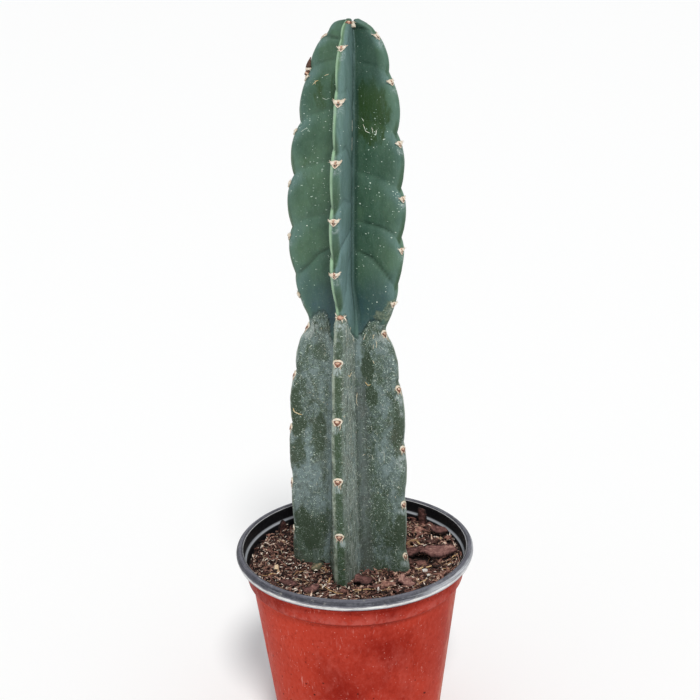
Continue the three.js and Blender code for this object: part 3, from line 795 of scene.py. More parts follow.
# The deep folds: rib, side of it, and the notch that the fold springs from, counted from the foot
DEEP_FOLDS = {
    (LEFT, 1, 6): 1.0,
    (RIGHT, -1, 6): 1.0,
    (RIGHT, -1, 7): 0.8,
    (FRONT, 1, 7): 0.5,
    (FRONT, 1, 9): 0.45,
    (LEFT, 1, 11): 0.7,
    (RIGHT, -1, 11): 0.5,
    (BACK_LEFT, 1, 6): 0.9,
    (BACK_RIGHT, -1, 7): 0.9,
}


def plateau(value, rise_from, rise_to, fall_from, fall_to):
    """1 over a stretch of the value, with a soft rise before it and a soft fall after it."""
    return smooth(rise_from, rise_to, value) * (1 - smooth(fall_from, fall_to, value))


def fold_strength(rib, side, crest_height):
    """How deep the nearest fold is: most are soft, and a few by the waist are sharp."""
    nearest = np.abs(crest_height[..., None] - notch_heights(rib)).argmin(axis=-1)
    strength = np.where(crest_height > WAIST_HEIGHT, 0.3, 0.12)
    for (fold_rib, fold_side, notch), deep in DEEP_FOLDS.items():
        if (fold_rib, fold_side) == (rib, side):
            strength = np.where(nearest == notch, deep, strength)
    return strength


def skin_relief(rib, side, inward, height, crest_height):
    """How far the skin stands out from the plain ribs: full flanks, soft pillows between the
    folds, and at each fold a groove under the lip of the pillow above."""
    fullness, _, nearest = lobe(rib, crest_height)
    young = plateau(height, 160, 185, 300, 330)
    full = FRONT_FLANK_SWELL if (rib, side) == (FRONT, 1) else FLANK_SWELL
    puffed = (fullness - 0.5) * PILLOW_SWELL * (0.3 + 0.7 * young)
    pillow = np.sin(np.pi * inward) * (full * young + puffed)
    strength = fold_strength(rib, side, crest_height)
    groove = FOLD_DEPTH * bell(nearest, 0, FOLD_WIDTH)
    lip = 0.4 * np.tanh(nearest / 0.8) * np.exp(-np.abs(nearest) / FOLD_LIP)
    fold = strength * (lip - groove) * plateau(inward, 0.02, 0.12, 0.75, 0.98)
    above = above_border(rib, side, inward, height)
    seam = SEAM_DEPTH * (0.8 * bell(above, -2.2, 1.8) - bell(above, 0.5, 1.1))
    return pillow + fold + seam * smooth(0.0, 0.2, inward)


def weathered(points, rib, side, inward, height):
    """Points on the skin moved out or in by its small dents, which are deeper on the old flush."""
    points = np.asarray(points)
    flat = points.reshape(-1, 3)
    rough = np.array([noise.noise(Vector(p) / 9.0) + 0.5 * noise.noise(Vector(p) / 3.6) for p in flat])
    centre_x, centre_y = axis_at(points[..., 2] - SOIL_LEVEL)
    outward = points - np.stack([centre_x, centre_y, points[..., 2]], axis=-1)
    outward /= np.linalg.norm(outward, axis=-1, keepdims=True)
    amount = 0.12 + 0.22 * age_of(rib, side, inward, height)
    return points + outward * (amount * rough.reshape(amount.shape))[..., None]


def stem_columns():
    """The columns of points round the stem: rib, side and place along that half of the rib."""
    margin = np.linspace(0, 1, 7)
    face = np.linspace(1, 2, 15)[1:]
    valley = np.array([2.33, 2.67])
    inside = np.concatenate([margin[1:], face, valley])
    columns = []
    for rib in range(5):
        columns += [(rib, -1, along) for along in inside[::-1]]
        columns += [(rib, 1, along) for along in [0.0, *inside, 3.0]]
    return columns


def make_stem():
    heights = [np.linspace(-41, -7, 9), np.arange(-5.4, 316.0, RING_STEP)]
    heights += [np.linspace(316, 336, 30), np.linspace(336.4, STEM_TOP, 14)]
    heights = np.concatenate(heights)[:, None]
    columns = stem_columns()
    rings = np.empty((len(heights), len(columns), 3))
    measures = {}
    for rib, side in HALVES:
        mine = [i for i, column in enumerate(columns) if column[:2] == (rib, side)]
        along = np.array([columns[i][2] for i in mine])
        points, _, inward, crest_height = flank(rib, side, along, heights)
        tall = np.broadcast_to(heights, inward.shape)
        rings[:, mine] = weathered(points, rib, side, inward, tall)
        for key, values in paint(rib, side, side * along, inward, tall, crest_height).items():
            measures.setdefault(key, np.zeros(rings.shape[:2]))[:, mine] = values
    foot = (*axis_at(STEM_BOTTOM), SOIL_LEVEL + STEM_BOTTOM)
    crown = (*axis_at(STEM_TOP), SOIL_LEVEL + STEM_TOP - CROWN_DIP)
    points, faces = closed_skin(rings, foot, crown)
    measures = {key: np.append(values, [0, 0]) for key, values in measures.items()}
    make_piece("cactus_stem", points, faces, [skin_finish()], "stem", ["stem"], True, measures)


# Patches of the skin by rib and side: inward share, height, reach inward and up, and strength
RUBBED = {
    (RIGHT, -1): [
        (0.58, 289, 0.44, 20, 1.0),
        (0.79, 134, 0.19, 10.5, 1.0),
        (0.72, 116, 0.17, 7, 0.8),
        (0.08, 95, 0.1, 16, 0.7),
        (0.06, 28, 0.12, 12, 0.8),
        (0.6, 38, 0.25, 12, 0.5),
        (0.3, 20, 0.2, 16, 0.4),
    ],
    (LEFT, 1): [
        (0.65, 300, 0.4, 13, 0.5),
        (0.45, 256, 0.3, 10, 0.3),
        (0.1, 107, 0.13, 11, 0.9),
        (0.18, 92, 0.18, 7, 0.8),
        (0.2, 73, 0.22, 11, 0.6),
        (0.7, 88, 0.17, 15, 0.7),
        (0.5, 15, 0.25, 9, 1.0),
        (0.25, 24, 0.22, 13, 0.7),
        (0.65, 142, 0.2, 7, 0.4),
        (0.85, 30, 0.2, 10, 0.4),
    ],
    (BACK_LEFT, 1): [(0.5, 250, 0.3, 16, 0.6)],
    (BACK_LEFT, -1): [(0.4, 90, 0.25, 18, 0.7)],
    (BACK_RIGHT, 1): [(0.5, 210, 0.3, 14, 0.6)],
    (BACK_RIGHT, -1): [(0.4, 60, 0.25, 20, 0.7)],
}
DUSTY = {
    (LEFT, 1): [
        (0.45, 80, 0.12, 17, 0.9),
        (0.4, 61, 0.38, 9, 1.0),
        (0.6, 127, 0.35, 8, 0.5),
        (0.97, 110, 0.07, 45, 0.5),
        (0.75, 42, 0.18, 10, 0.7),
        (0.95, 8, 0.15, 12, 0.7),
    ],
    (RIGHT, -1): [
        (0.4, 112, 0.17, 13, 0.9),
        (0.35, 76, 0.22, 13, 0.8),
        (0.92, 130, 0.1, 16, 0.7),
        (0.35, 150, 0.3, 8, 0.7),
        (0.5, 11, 0.35, 6, 0.6),
    ],
    (FRONT, 1): [
        (0.72, 95, 0.16, 40, 0.7),
        (0.75, 12, 0.25, 10, 0.8),
        (0.6, 62, 0.2, 16, 0.5),
    ],
    (BACK_LEFT, -1): [(0.6, 40, 0.3, 20, 0.7)],
    (BACK_RIGHT, 1): [(0.5, 110, 0.3, 22, 0.7)],
}
CORKY = {
    (RIGHT, -1): [
        (0.04, 170.5, 0.16, 8.0, 1.0),
        (0.22, 167.0, 0.22, 4.2, 1.0),
    ],
    (LEFT, 1): [(0.02, 170, 0.06, 7, 0.7)],
    (BACK_RIGHT, -1): [(0.2, 168, 0.25, 5, 0.8)],
}
# Whitish bloom on the shoulders of the old lobes; these are placed across the crest and flank
CHALKY = {
    (FRONT, 1): [(0.2, 166.5, 1.0, 3.0, 0.35)],
    (FRONT, -1): [
        (0.6, 160, 0.5, 10, 0.55),
        (1.2, 90, 0.45, 75, 0.6),
    ],
    (LEFT, 1): [
        (1.05, 156, 0.3, 7, 0.6),
        (0.2, 138, 0.6, 9, 0.5),
        (0.2, 118, 0.5, 7, 0.5),
        (0.2, 45, 0.5, 10, 0.4),
    ],
    (RIGHT, -1): [
        (1.0, 154.5, 0.5, 4.5, 0.6),
        (0.4, 146, 0.9, 7, 0.25),
        (0.3, 110, 0.8, 7, 0.5),
        (0.3, 73, 0.8, 7, 0.5),
    ],
}
# Where the pale line runs on each rib's crest, and half its width, in halves of the crest
PALE_LINES = [(-0.66, 0.51), (0.35, 0.4), (0, 0.5), (0, 0.5), (0, 0.5)]


def patches(table, rib, side, inward, height):
    """The strongest patch of a table at each place, uneven at its rim."""
    value = np.zeros_like(inward)
    uneven = 0.16 * np.sin(inward * 23 + height * 0.31) + 0.12 * np.sin(height * 0.83 - inward * 31)
    for at_inward, at_height, wide, tall, strength in table.get((rib, side), []):
        off = ((inward - at_inward) / wide) ** 2 + ((height - at_height) / tall) ** 2
        value = np.maximum(value, strength * (1 - smooth(0.55, 1.25, off + uneven)))
    return value


def under_cushion(rib, across, height):
    """The scuffed skin just under each cushion of a rib."""
    value = np.zeros_like(height)
    for cushion in CUSHION_HEIGHTS[rib]:
        off = ((height - cushion + 4.6) / 3.0) ** 2 + (across / 1.0) ** 2
        value = np.maximum(value, 1 - smooth(0.3, 1.2, off))
    return value


def paint(rib, side, across, inward, height, crest_height):
    """What the skin's finish reads from the mesh. across is the place across the rib's crest, from
    -1 to 1, and past them down the flanks."""
    on_front = rib == FRONT
    by_front_valley = (rib, side) in ((FRONT, 1), (RIGHT, -1))
    across = np.broadcast_to(across, inward.shape)
    _, up, nearest = lobe(rib, crest_height)
    age = age_of(rib, side, inward, height)
    young = smooth(150, 172, height)
    rubbed = patches(RUBBED, rib, side, inward, height)
    scuffed = under_cushion(rib, across, height)

    pale_at, pale_width = PALE_LINES[rib]
    pale = np.abs(across - pale_at + 0.04 * age * on_front) / (pale_width * (1 - 0.1 * age * on_front))
    pale = (1 - smooth(0.6, 1.1, pale)) * (0.4 + 0.6 * smooth(0.0, 0.2, up))
    pale = pale * (1 - 0.2 * age if on_front else 0.2 + 0.44 * age)
    crest_band = plateau(across, -0.45, -0.25, 0.4, 0.62) * (1 - 0.75 * smooth(136, 150, height))

    crest_up = lobe(rib, height)[1]
    wedge = np.sin(np.pi * np.clip(crest_up, 0, 1) ** 0.8) ** 0.7
    crest_edge = -0.45 + (0.75 * wedge + 0.3) * (1 - 0.8 * smooth(262, 285, height))
    # Painted highlight over the waxy bloom: the shoulder of each lobe by its cushion and the arch near the
    # crest are made paler, as if lit.
    shoulder = bell(nearest, -3.5, 4.2) * smooth(0.05, 0.2, inward)
    bloom_and_sheen = 0.14 * shoulder * (1 - smooth(0.75, 1.0, inward)) + 0.02 * smooth(0.8, 1.0, inward)
    bloom_and_sheen = bloom_and_sheen + 0.5 * bell(nearest, -6, 5.5) * plateau(inward, 0.0, 0.06, 0.12, 0.45)
    bloom_and_sheen = bloom_and_sheen + 0.3 * (1 - smooth(0.02, 0.22, inward))
    streaks = np.zeros_like(inward)
    if on_front:
        flank_bloom = smooth(crest_edge, crest_edge + 0.35, across) * (0.85 + 0.3 * shoulder)
        flank_bloom = flank_bloom * (1 + 0.35 * smooth(245, 210, height))
        bloom_and_sheen = np.maximum(bloom_and_sheen, flank_bloom * (0.35 + 0.65 * young))
        streaks = smooth(0.7, 1.2, across) * (1 - smooth(0.75, 0.9, inward))

    reach_up = 0.85 - 0.5 * smooth(262, 290, height)
    deep = (1 - smooth(0.3 * reach_up, reach_up, crest_up)) * smooth(-0.7, -0.35, across)
    deep = deep * (1 - smooth(crest_edge - 0.1, crest_edge + 0.2, across)) * (1 - scuffed)
    # Painted shade: the skin darkens in each deep fold, under the lip of the lobe above.
    folded = bell(nearest, -0.1, 0.85) * plateau(inward, 0.03, 0.15, 0.7, 0.95)
    shade = young * smooth(0.84, 0.9, inward) * by_front_valley
    if (rib, side) == (RIGHT, -1):
        darker = 0.8 * smooth(296, 312, height) + 0.3 * smooth(232, 205, height)
        darker = (darker + 0.14 * smooth(255, 270, height)) * young
        shade = np.maximum(shade, darker * smooth(0.08, 0.3, inward))

    settled = 0.5 - 0.35 * (1 - smooth(5, 45, height))
    dust = settled * smooth(-0.1, 1.0, across) if on_front else settled
    dust = (dust + 0.35 * smooth(0.85, 1.0, inward)) * (1 - 0.9 * rubbed)
    return {
        "age": age,
        "bloom_and_sheen": bloom_and_sheen,
        "waist": plateau(height, 146, 158, 170, 200) * smooth(-0.1, 0.32, inward) * (not on_front),
        "pale": pale,
        "deep": deep,
        "fold": folded * np.clip(fold_strength(rib, side, crest_height) - 0.2, 0, 1),
        "rubbed": rubbed,
        "dust": np.maximum(dust, patches(DUSTY, rib, side, inward, height)),
        "streaks": streaks,
        "band": crest_band * on_front * age,
        "line": bell(across, 0.75, 0.16) * on_front * age,
        "chalk": np.maximum(patches(CHALKY, rib, side, np.abs(across), height), 0.4 * scuffed * age),
        "tip": smooth(310, 318, height) * on_front * (1 - smooth(-0.1, 0.4, across)),
        "valley": smooth(0.72, 0.92, inward) * (1 - smooth(118, 140, height)) * by_front_valley,
        "corky": patches(CORKY, rib, side, inward, height) * (1 - age),
        "shade": shade,
        # painted shade in the crease just above the border between the flushes
        "seam": bell(above_border(rib, side, inward, height), 0.6, 0.6) * smooth(0.02, 0.1, inward),
        "scuffed": scuffed,
    }


YOUNG_GREEN = srgb(80, 110, 84)
YOUNG_DARK = srgb(55, 85, 67)
YOUNG_GRAIN = srgb(88, 122, 100)
YOUNG_BLOOM_AND_SHEEN = srgb(102, 131, 130)
YOUNG_OLIVE = srgb(48, 74, 34)
YOUNG_NOTCH = srgb(48, 76, 46)
YOUNG_WAIST = srgb(56, 84, 90)
YOUNG_TIP = srgb(96, 128, 82)
YOUNG_SHADE = srgb(40, 66, 58)
YOUNG_PALE = srgb(150, 184, 150)
BRUSHED_PALE = srgb(122, 146, 142)
BRUSHED_DARK = srgb(62, 92, 84)
BRAN_DARK = srgb(82, 96, 80)
BRAN_PALE = srgb(120, 130, 108)
OLD_GREEN = srgb(72, 88, 72)
OLD_OLIVE = srgb(54, 69, 51)
OLD_BROWN = srgb(88, 86, 76)
OLD_DUST = srgb(114, 131, 131)
OLD_VALLEY = srgb(72, 78, 72)
OLD_CREST = srgb(54, 75, 50)
OLD_LINE = srgb(124, 134, 122)
OLD_CHALK = srgb(152, 160, 156)
OLD_SCRATCHED = srgb(138, 154, 150)
OLD_GLOOM = srgb(48, 60, 48)
OLD_PALE = srgb(172, 184, 166)
CORK_GREY = srgb(154, 162, 154)
SEAM_SHADE = srgb(34, 50, 48)
FOLD_SHADE = srgb(30, 54, 38)
SCUFF_PALE = srgb(156, 170, 168)
PIT_DARK = srgb(44, 56, 44)
SPECK_PALE = srgb(176, 190, 178)


def skin_finish():
    """Waxy cactus skin. The young flush is deep green under a bluish waxy coat; the old one is greyed, dusty
    and specked. The crest of a rib is paler, and rubbed places are olive. Painted highlights pale the
    shoulders of the lobes, and painted shade darkens the folds, the seam between the flushes, the valley
    beside the front rib and parts of the right rib's face."""
    skin = Finish("cactus skin", 1.4)
    grain = skin.clouds(230, 5, 0.7, (1, 1, 0.6))
    veil = skin.step(skin.clouds(150, 4, 0.65, (1, 1, 0.5)), 0.3, 0.75, 0.65, 1.05)
    swept = skin.step(skin.clouds(150, 6, 0.75, (1.6, 1.6, 0.4), 0.6), 0.3, 0.7, -0.4, 0.4)
    crumbled = skin.step(skin.clouds(420, 6, 0.8), 0.25, 0.75, -0.6, 0.6)
    bran = skin.mix(skin.step(skin.clouds(650, 4, 0.7), 0.42, 0.6), BRAN_DARK, BRAN_PALE)
    pale_strokes = skin.step(skin.clouds(260, 6, 0.75, (1.8, 1.8, 0.35), 0.8), 0.5, 0.68)
    dark_strokes = skin.step(skin.clouds(240, 6, 0.75, (1.8, 1.8, 0.35), 0.8), 0.5, 0.34)
    young = skin.mix(skin.step(skin.clouds(38, 5, 0.6), 0.35, 0.7), YOUNG_DARK, YOUNG_GREEN)
    young = skin.washed(young, [
        (skin.step(grain, 0.35, 0.75), 0.4, YOUNG_GRAIN),
        # waxy bloom, with the painted highlights on the lobes' shoulders
        ("bloom_and_sheen", veil, YOUNG_BLOOM_AND_SHEEN),
        ("waist", veil, YOUNG_WAIST),
        (skin.step(skin.sum("rubbed", swept), 0.2, 1.0), 0.95, YOUNG_OLIVE),
        ("tip", 0.6, YOUNG_TIP),
        ("shade", 0.75, YOUNG_SHADE),
        ("deep", 0.75, YOUNG_NOTCH),
        (skin.step(skin.sum("corky", crumbled), 0.2, 1.1), 0.85, bran),
        (pale_strokes, skin.step("bloom_and_sheen", 0.1, 0.8, 0.1, 0.4), BRUSHED_PALE),
        (dark_strokes, skin.step("bloom_and_sheen", 0.1, 0.8, 0.12, 0.4), BRUSHED_DARK),
    ])

    feather = skin.step(skin.clouds(300, 6, 0.8, (1, 1, 0.7), 0.5), 0.25, 0.75, -0.4, 0.4)
    wide = skin.step(skin.clouds(80, 5, 0.7, (1, 1, 0.65), 0.8), 0.3, 0.7, -0.32, 0.32)
    uneven = skin.sum(feather, wide)
    blotch = skin.sum(skin.clouds(62, 5, 0.65, (1, 1, 0.65), 0.6), skin.times(feather, 0.2))
    threads = skin.step(skin.clouds(800, 5, 0.7, (1, 1, 0.12), 0.3), 0.4, 0.62)
    upright = skin.step(skin.clouds(420, 5, 0.72, (1.6, 1.6, 0.6), 1.6), 0.52, 0.62)
    level = skin.step(skin.clouds(380, 5, 0.72, (0.6, 0.6, 1.6), 1.6), 0.54, 0.64)
    gloom = skin.step(skin.clouds(330, 5, 0.7, (1, 1, 0.6), 1.0), 0.52, 0.62)
    old = skin.mix(skin.step(blotch, 0.44, 0.56), OLD_GREEN, OLD_OLIVE)
    old = skin.washed(old, [
        (skin.step(skin.clouds(26, 4), 0.48, 0.7), 0.6, OLD_BROWN),
        (skin.step(skin.sum("dust", uneven), 0.1, 1.05), 1.0, OLD_DUST),
        ("valley", skin.step(uneven, -0.5, 0.5, 0.3, 1.0), OLD_VALLEY),
        (skin.step(skin.sum("rubbed", skin.times(uneven, 0.7)), 0.25, 0.75), 0.92, OLD_OLIVE),
        (threads, skin.times("streaks", 0.85), CORK_GREY),
        ("band", 0.75, OLD_CREST),
        ("line", 0.5, OLD_LINE),
        (skin.step(skin.sum("chalk", skin.times(uneven, 1.1)), 0.3, 0.95), 0.85, OLD_CHALK),
        (skin.sum(upright, level), skin.step("rubbed", 0, 1, 0.26, 0.08), OLD_SCRATCHED),
        (gloom, 0.36, OLD_GLOOM),
    ])

    age = skin.measured("age")
    patchy = skin.step(grain, 0.3, 0.6, 0.75, 1.0)
    worn_pale = skin.step(skin.clouds(160, 5, 0.75), 0.36, 0.58, 0.15, 0.95)
    blurred = skin.step(skin.clouds(800, 3, 0.6, (0.6, 0.6, 0.6), 1.5), 0.42, 0.62)
    drips = skin.step(skin.clouds(420, 3, 0.6, (2.2, 2.2, 0.3), 0.4), 0.46, 0.58)
    pits = skin.step(skin.clouds(760, 2, 0.5, (1, 1, 1), 0.4), 0.6, 0.72)
    specks = skin.step(skin.clouds(1150, 2, 0.5), 0.6, 0.7)
    streaked = skin.times(skin.blend(age, blurred, drips), skin.step(age, 0, 1, 0.5, 0.8))
    tone = skin.washed(skin.mix(age, young, old), [
        ("pale", skin.blend(age, patchy, worn_pale), skin.mix(age, YOUNG_PALE, OLD_PALE)),
        # painted shade in the seam between the flushes
        ("seam", 0.85, SEAM_SHADE),
        # painted shade in the folds
        ("fold", 0.8, FOLD_SHADE),
        ("scuffed", streaked, SCUFF_PALE),
        (pits, skin.step(age, 0, 1, 0.12, 0.35), PIT_DARK),
        (specks, skin.step(age, 0, 1, 0.08, 0.3), SPECK_PALE),
    ])
    rough = skin.step(skin.sum("bloom_and_sheen", age), 0.0, 1.0, 0.4, 0.66)
    pores = skin.relief(skin.clouds(1400, 2), 0.00006)
    return skin.done(tone, rough, skin.relief(grain, 0.0003, pores), 0.4)


make_stem()


# The spine cushions. On each rib margin, over every lobe, sits a pad of cream wool with a brown
# felted heart. Young pads spread two pointed tufts and a lip of wool; old ones are worn down to a
# pale horseshoe with strips of cork running down from it.
WOOL_CREAM = srgb(214, 198, 174)
WOOL_WHITE = srgb(232, 224, 210)
WOOL_SHADE = srgb(176, 150, 124)
HEART_TONES = [
    (0.0, srgb(86, 66, 58)),
    (0.4, srgb(150, 104, 86)),
    (0.7, srgb(196, 150, 128)),
    (1.0, srgb(230, 204, 180)),
]
WOOL_GLOSS = 0.2
YOUNG_FROM = 172
WAIST_CUSHION = 170
OLD_CUSHION_SIZE = 1.08
LOWEST_CUSHION = 5.0
# The brown tuft on the front rib's tip, and the wool in the crown between the ribs
CROWN_TUFT = (4.4, -0.5, 464.45)
CROWN_WOOL = (7.2, 6.8, 461.9)
# A dried scale above a cushion of the left rib, from its foot up: heights from and to, radii from
# and to, and its tone (white wool where there is none)
DRIED_SCALE = [
    (308.4, 309.2, 1.3, 1.7, 0.1),
    (309.3, 310.1, 1.7, 1.5, 0.75),
    (310.2, 311.2, 1.6, 1.8, 0.1),
    (311.4, 312.9, 1.9, 1.9, None),
    (313.0, 318.8, 1.9, 0.25, 0.0),
]
# The arc of a crest in half thicknesses, and the length of a flank in millimetres
CREST_ARC = 1.42
FLANK_LENGTH = 24.0
# How far across each rib's crest its cushions sit, in millimetres
CUSHION_SHIFTS = [0.1, -1.3, 0.0, 0.0, 0.6]
# How much narrower than the front rib's they are
CUSHION_WIDTHS = [1.0, 0.66, 0.85, 0.85, 0.8]
# Wisps that the waist's cushion is drawn out into: from across and up, and by how much
WISPS = [
    (-2.0, 0.9, -1.8, 1.4),
    (-1.9, -0.2, -2.0, -0.6),
    (2.0, 0.3, 1.9, 0.7),
    (2.1, -0.4, 1.7, -2.2),
    (-1.6, -0.7, -0.9, -1.6),
    (1.0, -0.9, 0.4, -1.8),
]
chance = np.random.default_rng(11)


def bar(rings):
    """A closed bar with flat ends, from rings of points along it."""
    count, sides = np.shape(rings)[:2]
    ends = [tuple(range(sides))[::-1], tuple(range((count - 1) * sides, count * sides))]
    return np.reshape(rings, (-1, 3)), ends + bands(count, sides)


def strand(path, radii, sides=4):
    """A thin closed body round a path, with a radius at each of its points."""
    path = np.asarray(path, float)
    along = np.gradient(path, axis=0)
    along /= np.linalg.norm(along, axis=1, keepdims=True)
    spare = np.array([0.31, 0.17, 0.93]) if abs(along[0][2]) < 0.9 else np.array([0.93, 0.31, 0.17])
    across = np.cross(along, spare)
    across /= np.linalg.norm(across, axis=1, keepdims=True)
    third = np.cross(along, across)
    angles = (np.arange(sides) / sides * 2 * np.pi)[:, None]
    spokes = across[:, None] * np.cos(angles) + third[:, None] * np.sin(angles)
    return bar(path[:, None] + spokes * np.asarray(radii)[:, None, None])


def bow(across, up, out, radii, size, sides):
    """A strand through places given as across, up and out, made to a size."""
    path = np.stack(np.broadcast_arrays(across, up, out), axis=-1)
    return strand(path * size, np.array(radii) * size, sides)


def lump_rings(tilts, sides, reaches, uneven):
    """The uneven rings of a rounded lump, each at a tilt from its middle: x across, y up, z out."""
    rings = []
    for tilt in tilts:
        for j in range(sides):
            angle = j / sides * 2 * math.pi
            reach = 1 + uneven * chance.normal()
            flat = math.cos(tilt) * reach
            rings.append((flat * math.cos(angle), flat * math.sin(angle), math.sin(tilt) * reach))
    return np.reshape(rings, (-1, sides, 3)) * reaches


def dome(width, height, rise, rows=5, sides=14, uneven=0.08):
    """A low uneven dome with a closed back: x across, y up, z out of the skin."""
    rings = lump_rings(np.arange(rows) / rows * math.pi / 2, sides, (width / 2, height / 2, rise), uneven)
    rings[0, :, 2] -= 0.3
    return closed_skin(rings, (0, 0, -0.5), (0, 0, rise))


def on_crest(rib, height, local):
    """Moves points from a cushion's own frame (across, up, out) onto a rib's crest, so that they
    follow the skin."""
    local = np.asarray(local, float)
    heights = height + local[:, 1]
    arc = CREST_ARC * station(heights, HALF_THICKNESS)
    x = local[:, 0] * CUSHION_WIDTHS[rib] + CUSHION_SHIFTS[rib]
    along = np.abs(x) / arc
    along = np.where(along < 1, along, 1 + (along - 1) * arc / FLANK_LENGTH)
    moved = np.empty_like(local)
    for side in (-1, 1):
        mine = (x >= 0) if side == 1 else (x < 0)
        if mine.any():
            moved[mine] = flank(rib, side, along[mine], heights[mine], local[mine, 2])[0]
    return moved


def hairs(roots, leans, lengths, thick=0.13):
    """Short tapering hairs of wool."""
    made = []
    for root, lean, length in zip(roots, leans, lengths):
        lean = lean / np.linalg.norm(lean)
        tip = root + lean * length
        middle = (root + tip) / 2 + chance.normal(0, 0.08, 3)
        made.append(strand([root, middle, tip], [thick, thick * 0.8, thick * 0.2], 3))
    return made


def young_cushion(size):
    """Wool and heart of a young cushion, in its own frame; it has no cork. A heart's parts carry a tone."""
    wool = []
    for side in (-1, 1):
        long = chance.uniform(2.3, 3.4)
        lift = chance.uniform(0.1, 2.0) if side == -1 else chance.uniform(0.9, 2.4)
        path = []
        for share in np.linspace(0, 1, 7):
            across = side * (0.5 + long * share * (1 - 0.12 * lift * share))
            path.append(np.array([across, -0.3 + lift * share**1.7, 0.3 + 0.55 * share]) * size)
        radii = np.array([0.7, 0.92, 1.0, 0.86, 0.62, 0.34, 0.08]) * size * chance.uniform(0.92, 1.2)
        wool.append(strand(path, radii, 9))
        roots = [path[chance.integers(0, 6)] + chance.normal(0, 0.25, 3) for _ in range(22)]
        leans = [np.array([side * 0.8, 0.25 + 0.3 * lift, 0.5]) + chance.normal(0, 0.4, 3) for _ in range(22)]
        wool += hairs(roots, leans, chance.uniform(0.5, 1.4, 22))
    droop = chance.uniform(1.7, 2.6)
    radii = [0.3, 0.45, 0.52, 0.52, 0.42, 0.52, 0.52, 0.45, 0.3]
    lip = np.linspace(-1.8, 1.8, 9)
    wool.append(bow(lip, -0.35 - droop * (1 - abs(lip) / 1.9), 0.35, radii, size, 7))
    brow = np.linspace(-1.5, 1.5, 6)
    wool.append(bow(brow, 0.85 - 0.1 * brow * brow, 0.3, [0.34] * 6, size, 6))
    roots = [np.array([chance.uniform(-1.8, 1.8), chance.uniform(-1.6, 0.8), 0.5]) for _ in range(24)]
    leans = [np.array([root[0] * 0.6, root[1] * 0.6 - 0.3, 0.6]) + chance.normal(0, 0.3, 3) for root in roots]
    wool += hairs(roots, leans, chance.uniform(0.4, 0.9, 24))
    hearts = [(*dome(2.8 * size, 2.3 * size, 0.85, 4, 12, 0.12), chance.uniform(0.55, 0.9))]
    slit = 0.075 * chance.normal(size=5) - 0.05
    radii = [0.1, 0.18, 0.2, 0.18, 0.1]
    hearts.append((*bow(np.linspace(-0.8, 0.8, 5), slit, 0.85, radii, size, 5), 0.3))
    vee = np.linspace(-1.25, 1.25, 7)
    low = -0.55 - (0.75 * droop - 0.05) * (1 - abs(vee) / 1.25)
    radii = [0.1, 0.2, 0.28, 0.3, 0.28, 0.2, 0.1]
    hearts.append((*bow(vee, low, 0.62, radii, size, 5), chance.uniform(0.2, 0.5)))
    return wool, [], hearts


def old_cushion(size, wide=1.0):
    """Wool, cork and heart of an old, worn cushion, in its own frame: a shield of brown felt with a
    pale middle, in a horseshoe of white wool that opens at its foot."""
    wool, cork, ring, radii = [], [], [], []
    for share in np.linspace(0, 1, 21):
        angle = math.radians(-52 + 284 * share)
        reach = 2.3 - 0.5 * max(0.0, -math.sin(angle))
        ring.append(np.array([reach * math.cos(angle) * wide, 1.62 * math.sin(angle) + 0.1, 0.16]) * size)
        radii.append((0.6 - 0.32 * abs(2 * share - 1) ** 2) * size * chance.uniform(0.8, 1.2))
    wool.append(strand(ring, radii, 8))
    roots = [ring[chance.integers(0, 21)] + chance.normal(0, 0.16, 3) for _ in range(46)]
    leans = []
    for root in roots:
        spread = chance.uniform(-0.3, 1.0, 2)
        leans.append(np.array([*(root[:2] * spread), 0.6]))
    wool += hairs(roots, leans, chance.uniform(0.4, 1.1, 46), 0.11)
    for side in (-1, 1):
        start, end = 1.55 + 0.2 * chance.normal(), 0.45 + 0.3 * chance.random()
        shares = np.array([0, 0.35, 0.7, 1])
        slope = side * (start + (end - start) * shares) * wide
        radii = np.array([0.34, 0.42, 0.34, 0.12]) * chance.uniform(0.8, 1.2)
        wool.append(bow(slope, -0.9 - 1.25 * shares, 0.12, radii, size, 6))
    lengths = [chance.uniform(0.8, 2.6), chance.uniform(1.6, 4.0), chance.uniform(0.8, 2.8), 1.2]
    for x, long in list(zip((-1.75, 1.65, 0.5, -0.6), lengths))[: chance.integers(3, 5)]:
        shares = np.linspace(0, 1, 5)
        drip = [(x * wide + 0.12 * (chance.normal() - x * s), -1.2 - long * s, 0.08) for s in shares]
        radii = np.array([0.32, 0.3, 0.28, 0.22, 0.08]) * chance.uniform(0.8, 1.2)
        cork.append(strand(np.array(drip) * size, radii, 5))
    hearts = [(*dome(3.6 * size * wide, 2.0 * size, 0.34, 4, 12, 0.12), 0.4)]
    for side in (-1, 1):
        shares = np.linspace(0, 1, 6)
        radii = [0.26, 0.44, 0.46, 0.42, 0.36, 0.2]
        edge = bow(side * (1.55 - 1.5 * shares) * wide, 0.6 - 2.3 * shares, 0.34, radii, size, 6)
        hearts.append((*edge, chance.uniform(0.18, 0.4)))
    middle, faces = dome(2.0 * size * wide, 1.2 * size, 0.42, 3, 10, 0.15)
    hearts.append((middle + np.array([0.0, 0.35, 0.32]) * size, faces, chance.uniform(0.75, 1.0)))
    roots = [np.array([chance.normal(0, 0.8), chance.normal(0.1, 0.6), 0.42]) for _ in range(12)]
    leans = [np.array([chance.normal(0, 0.5), chance.normal(-0.3, 0.5), 0.35]) for _ in range(12)]
    wool += hairs(roots, leans, chance.uniform(0.4, 0.9, 12), 0.07)
    return wool, cork, hearts


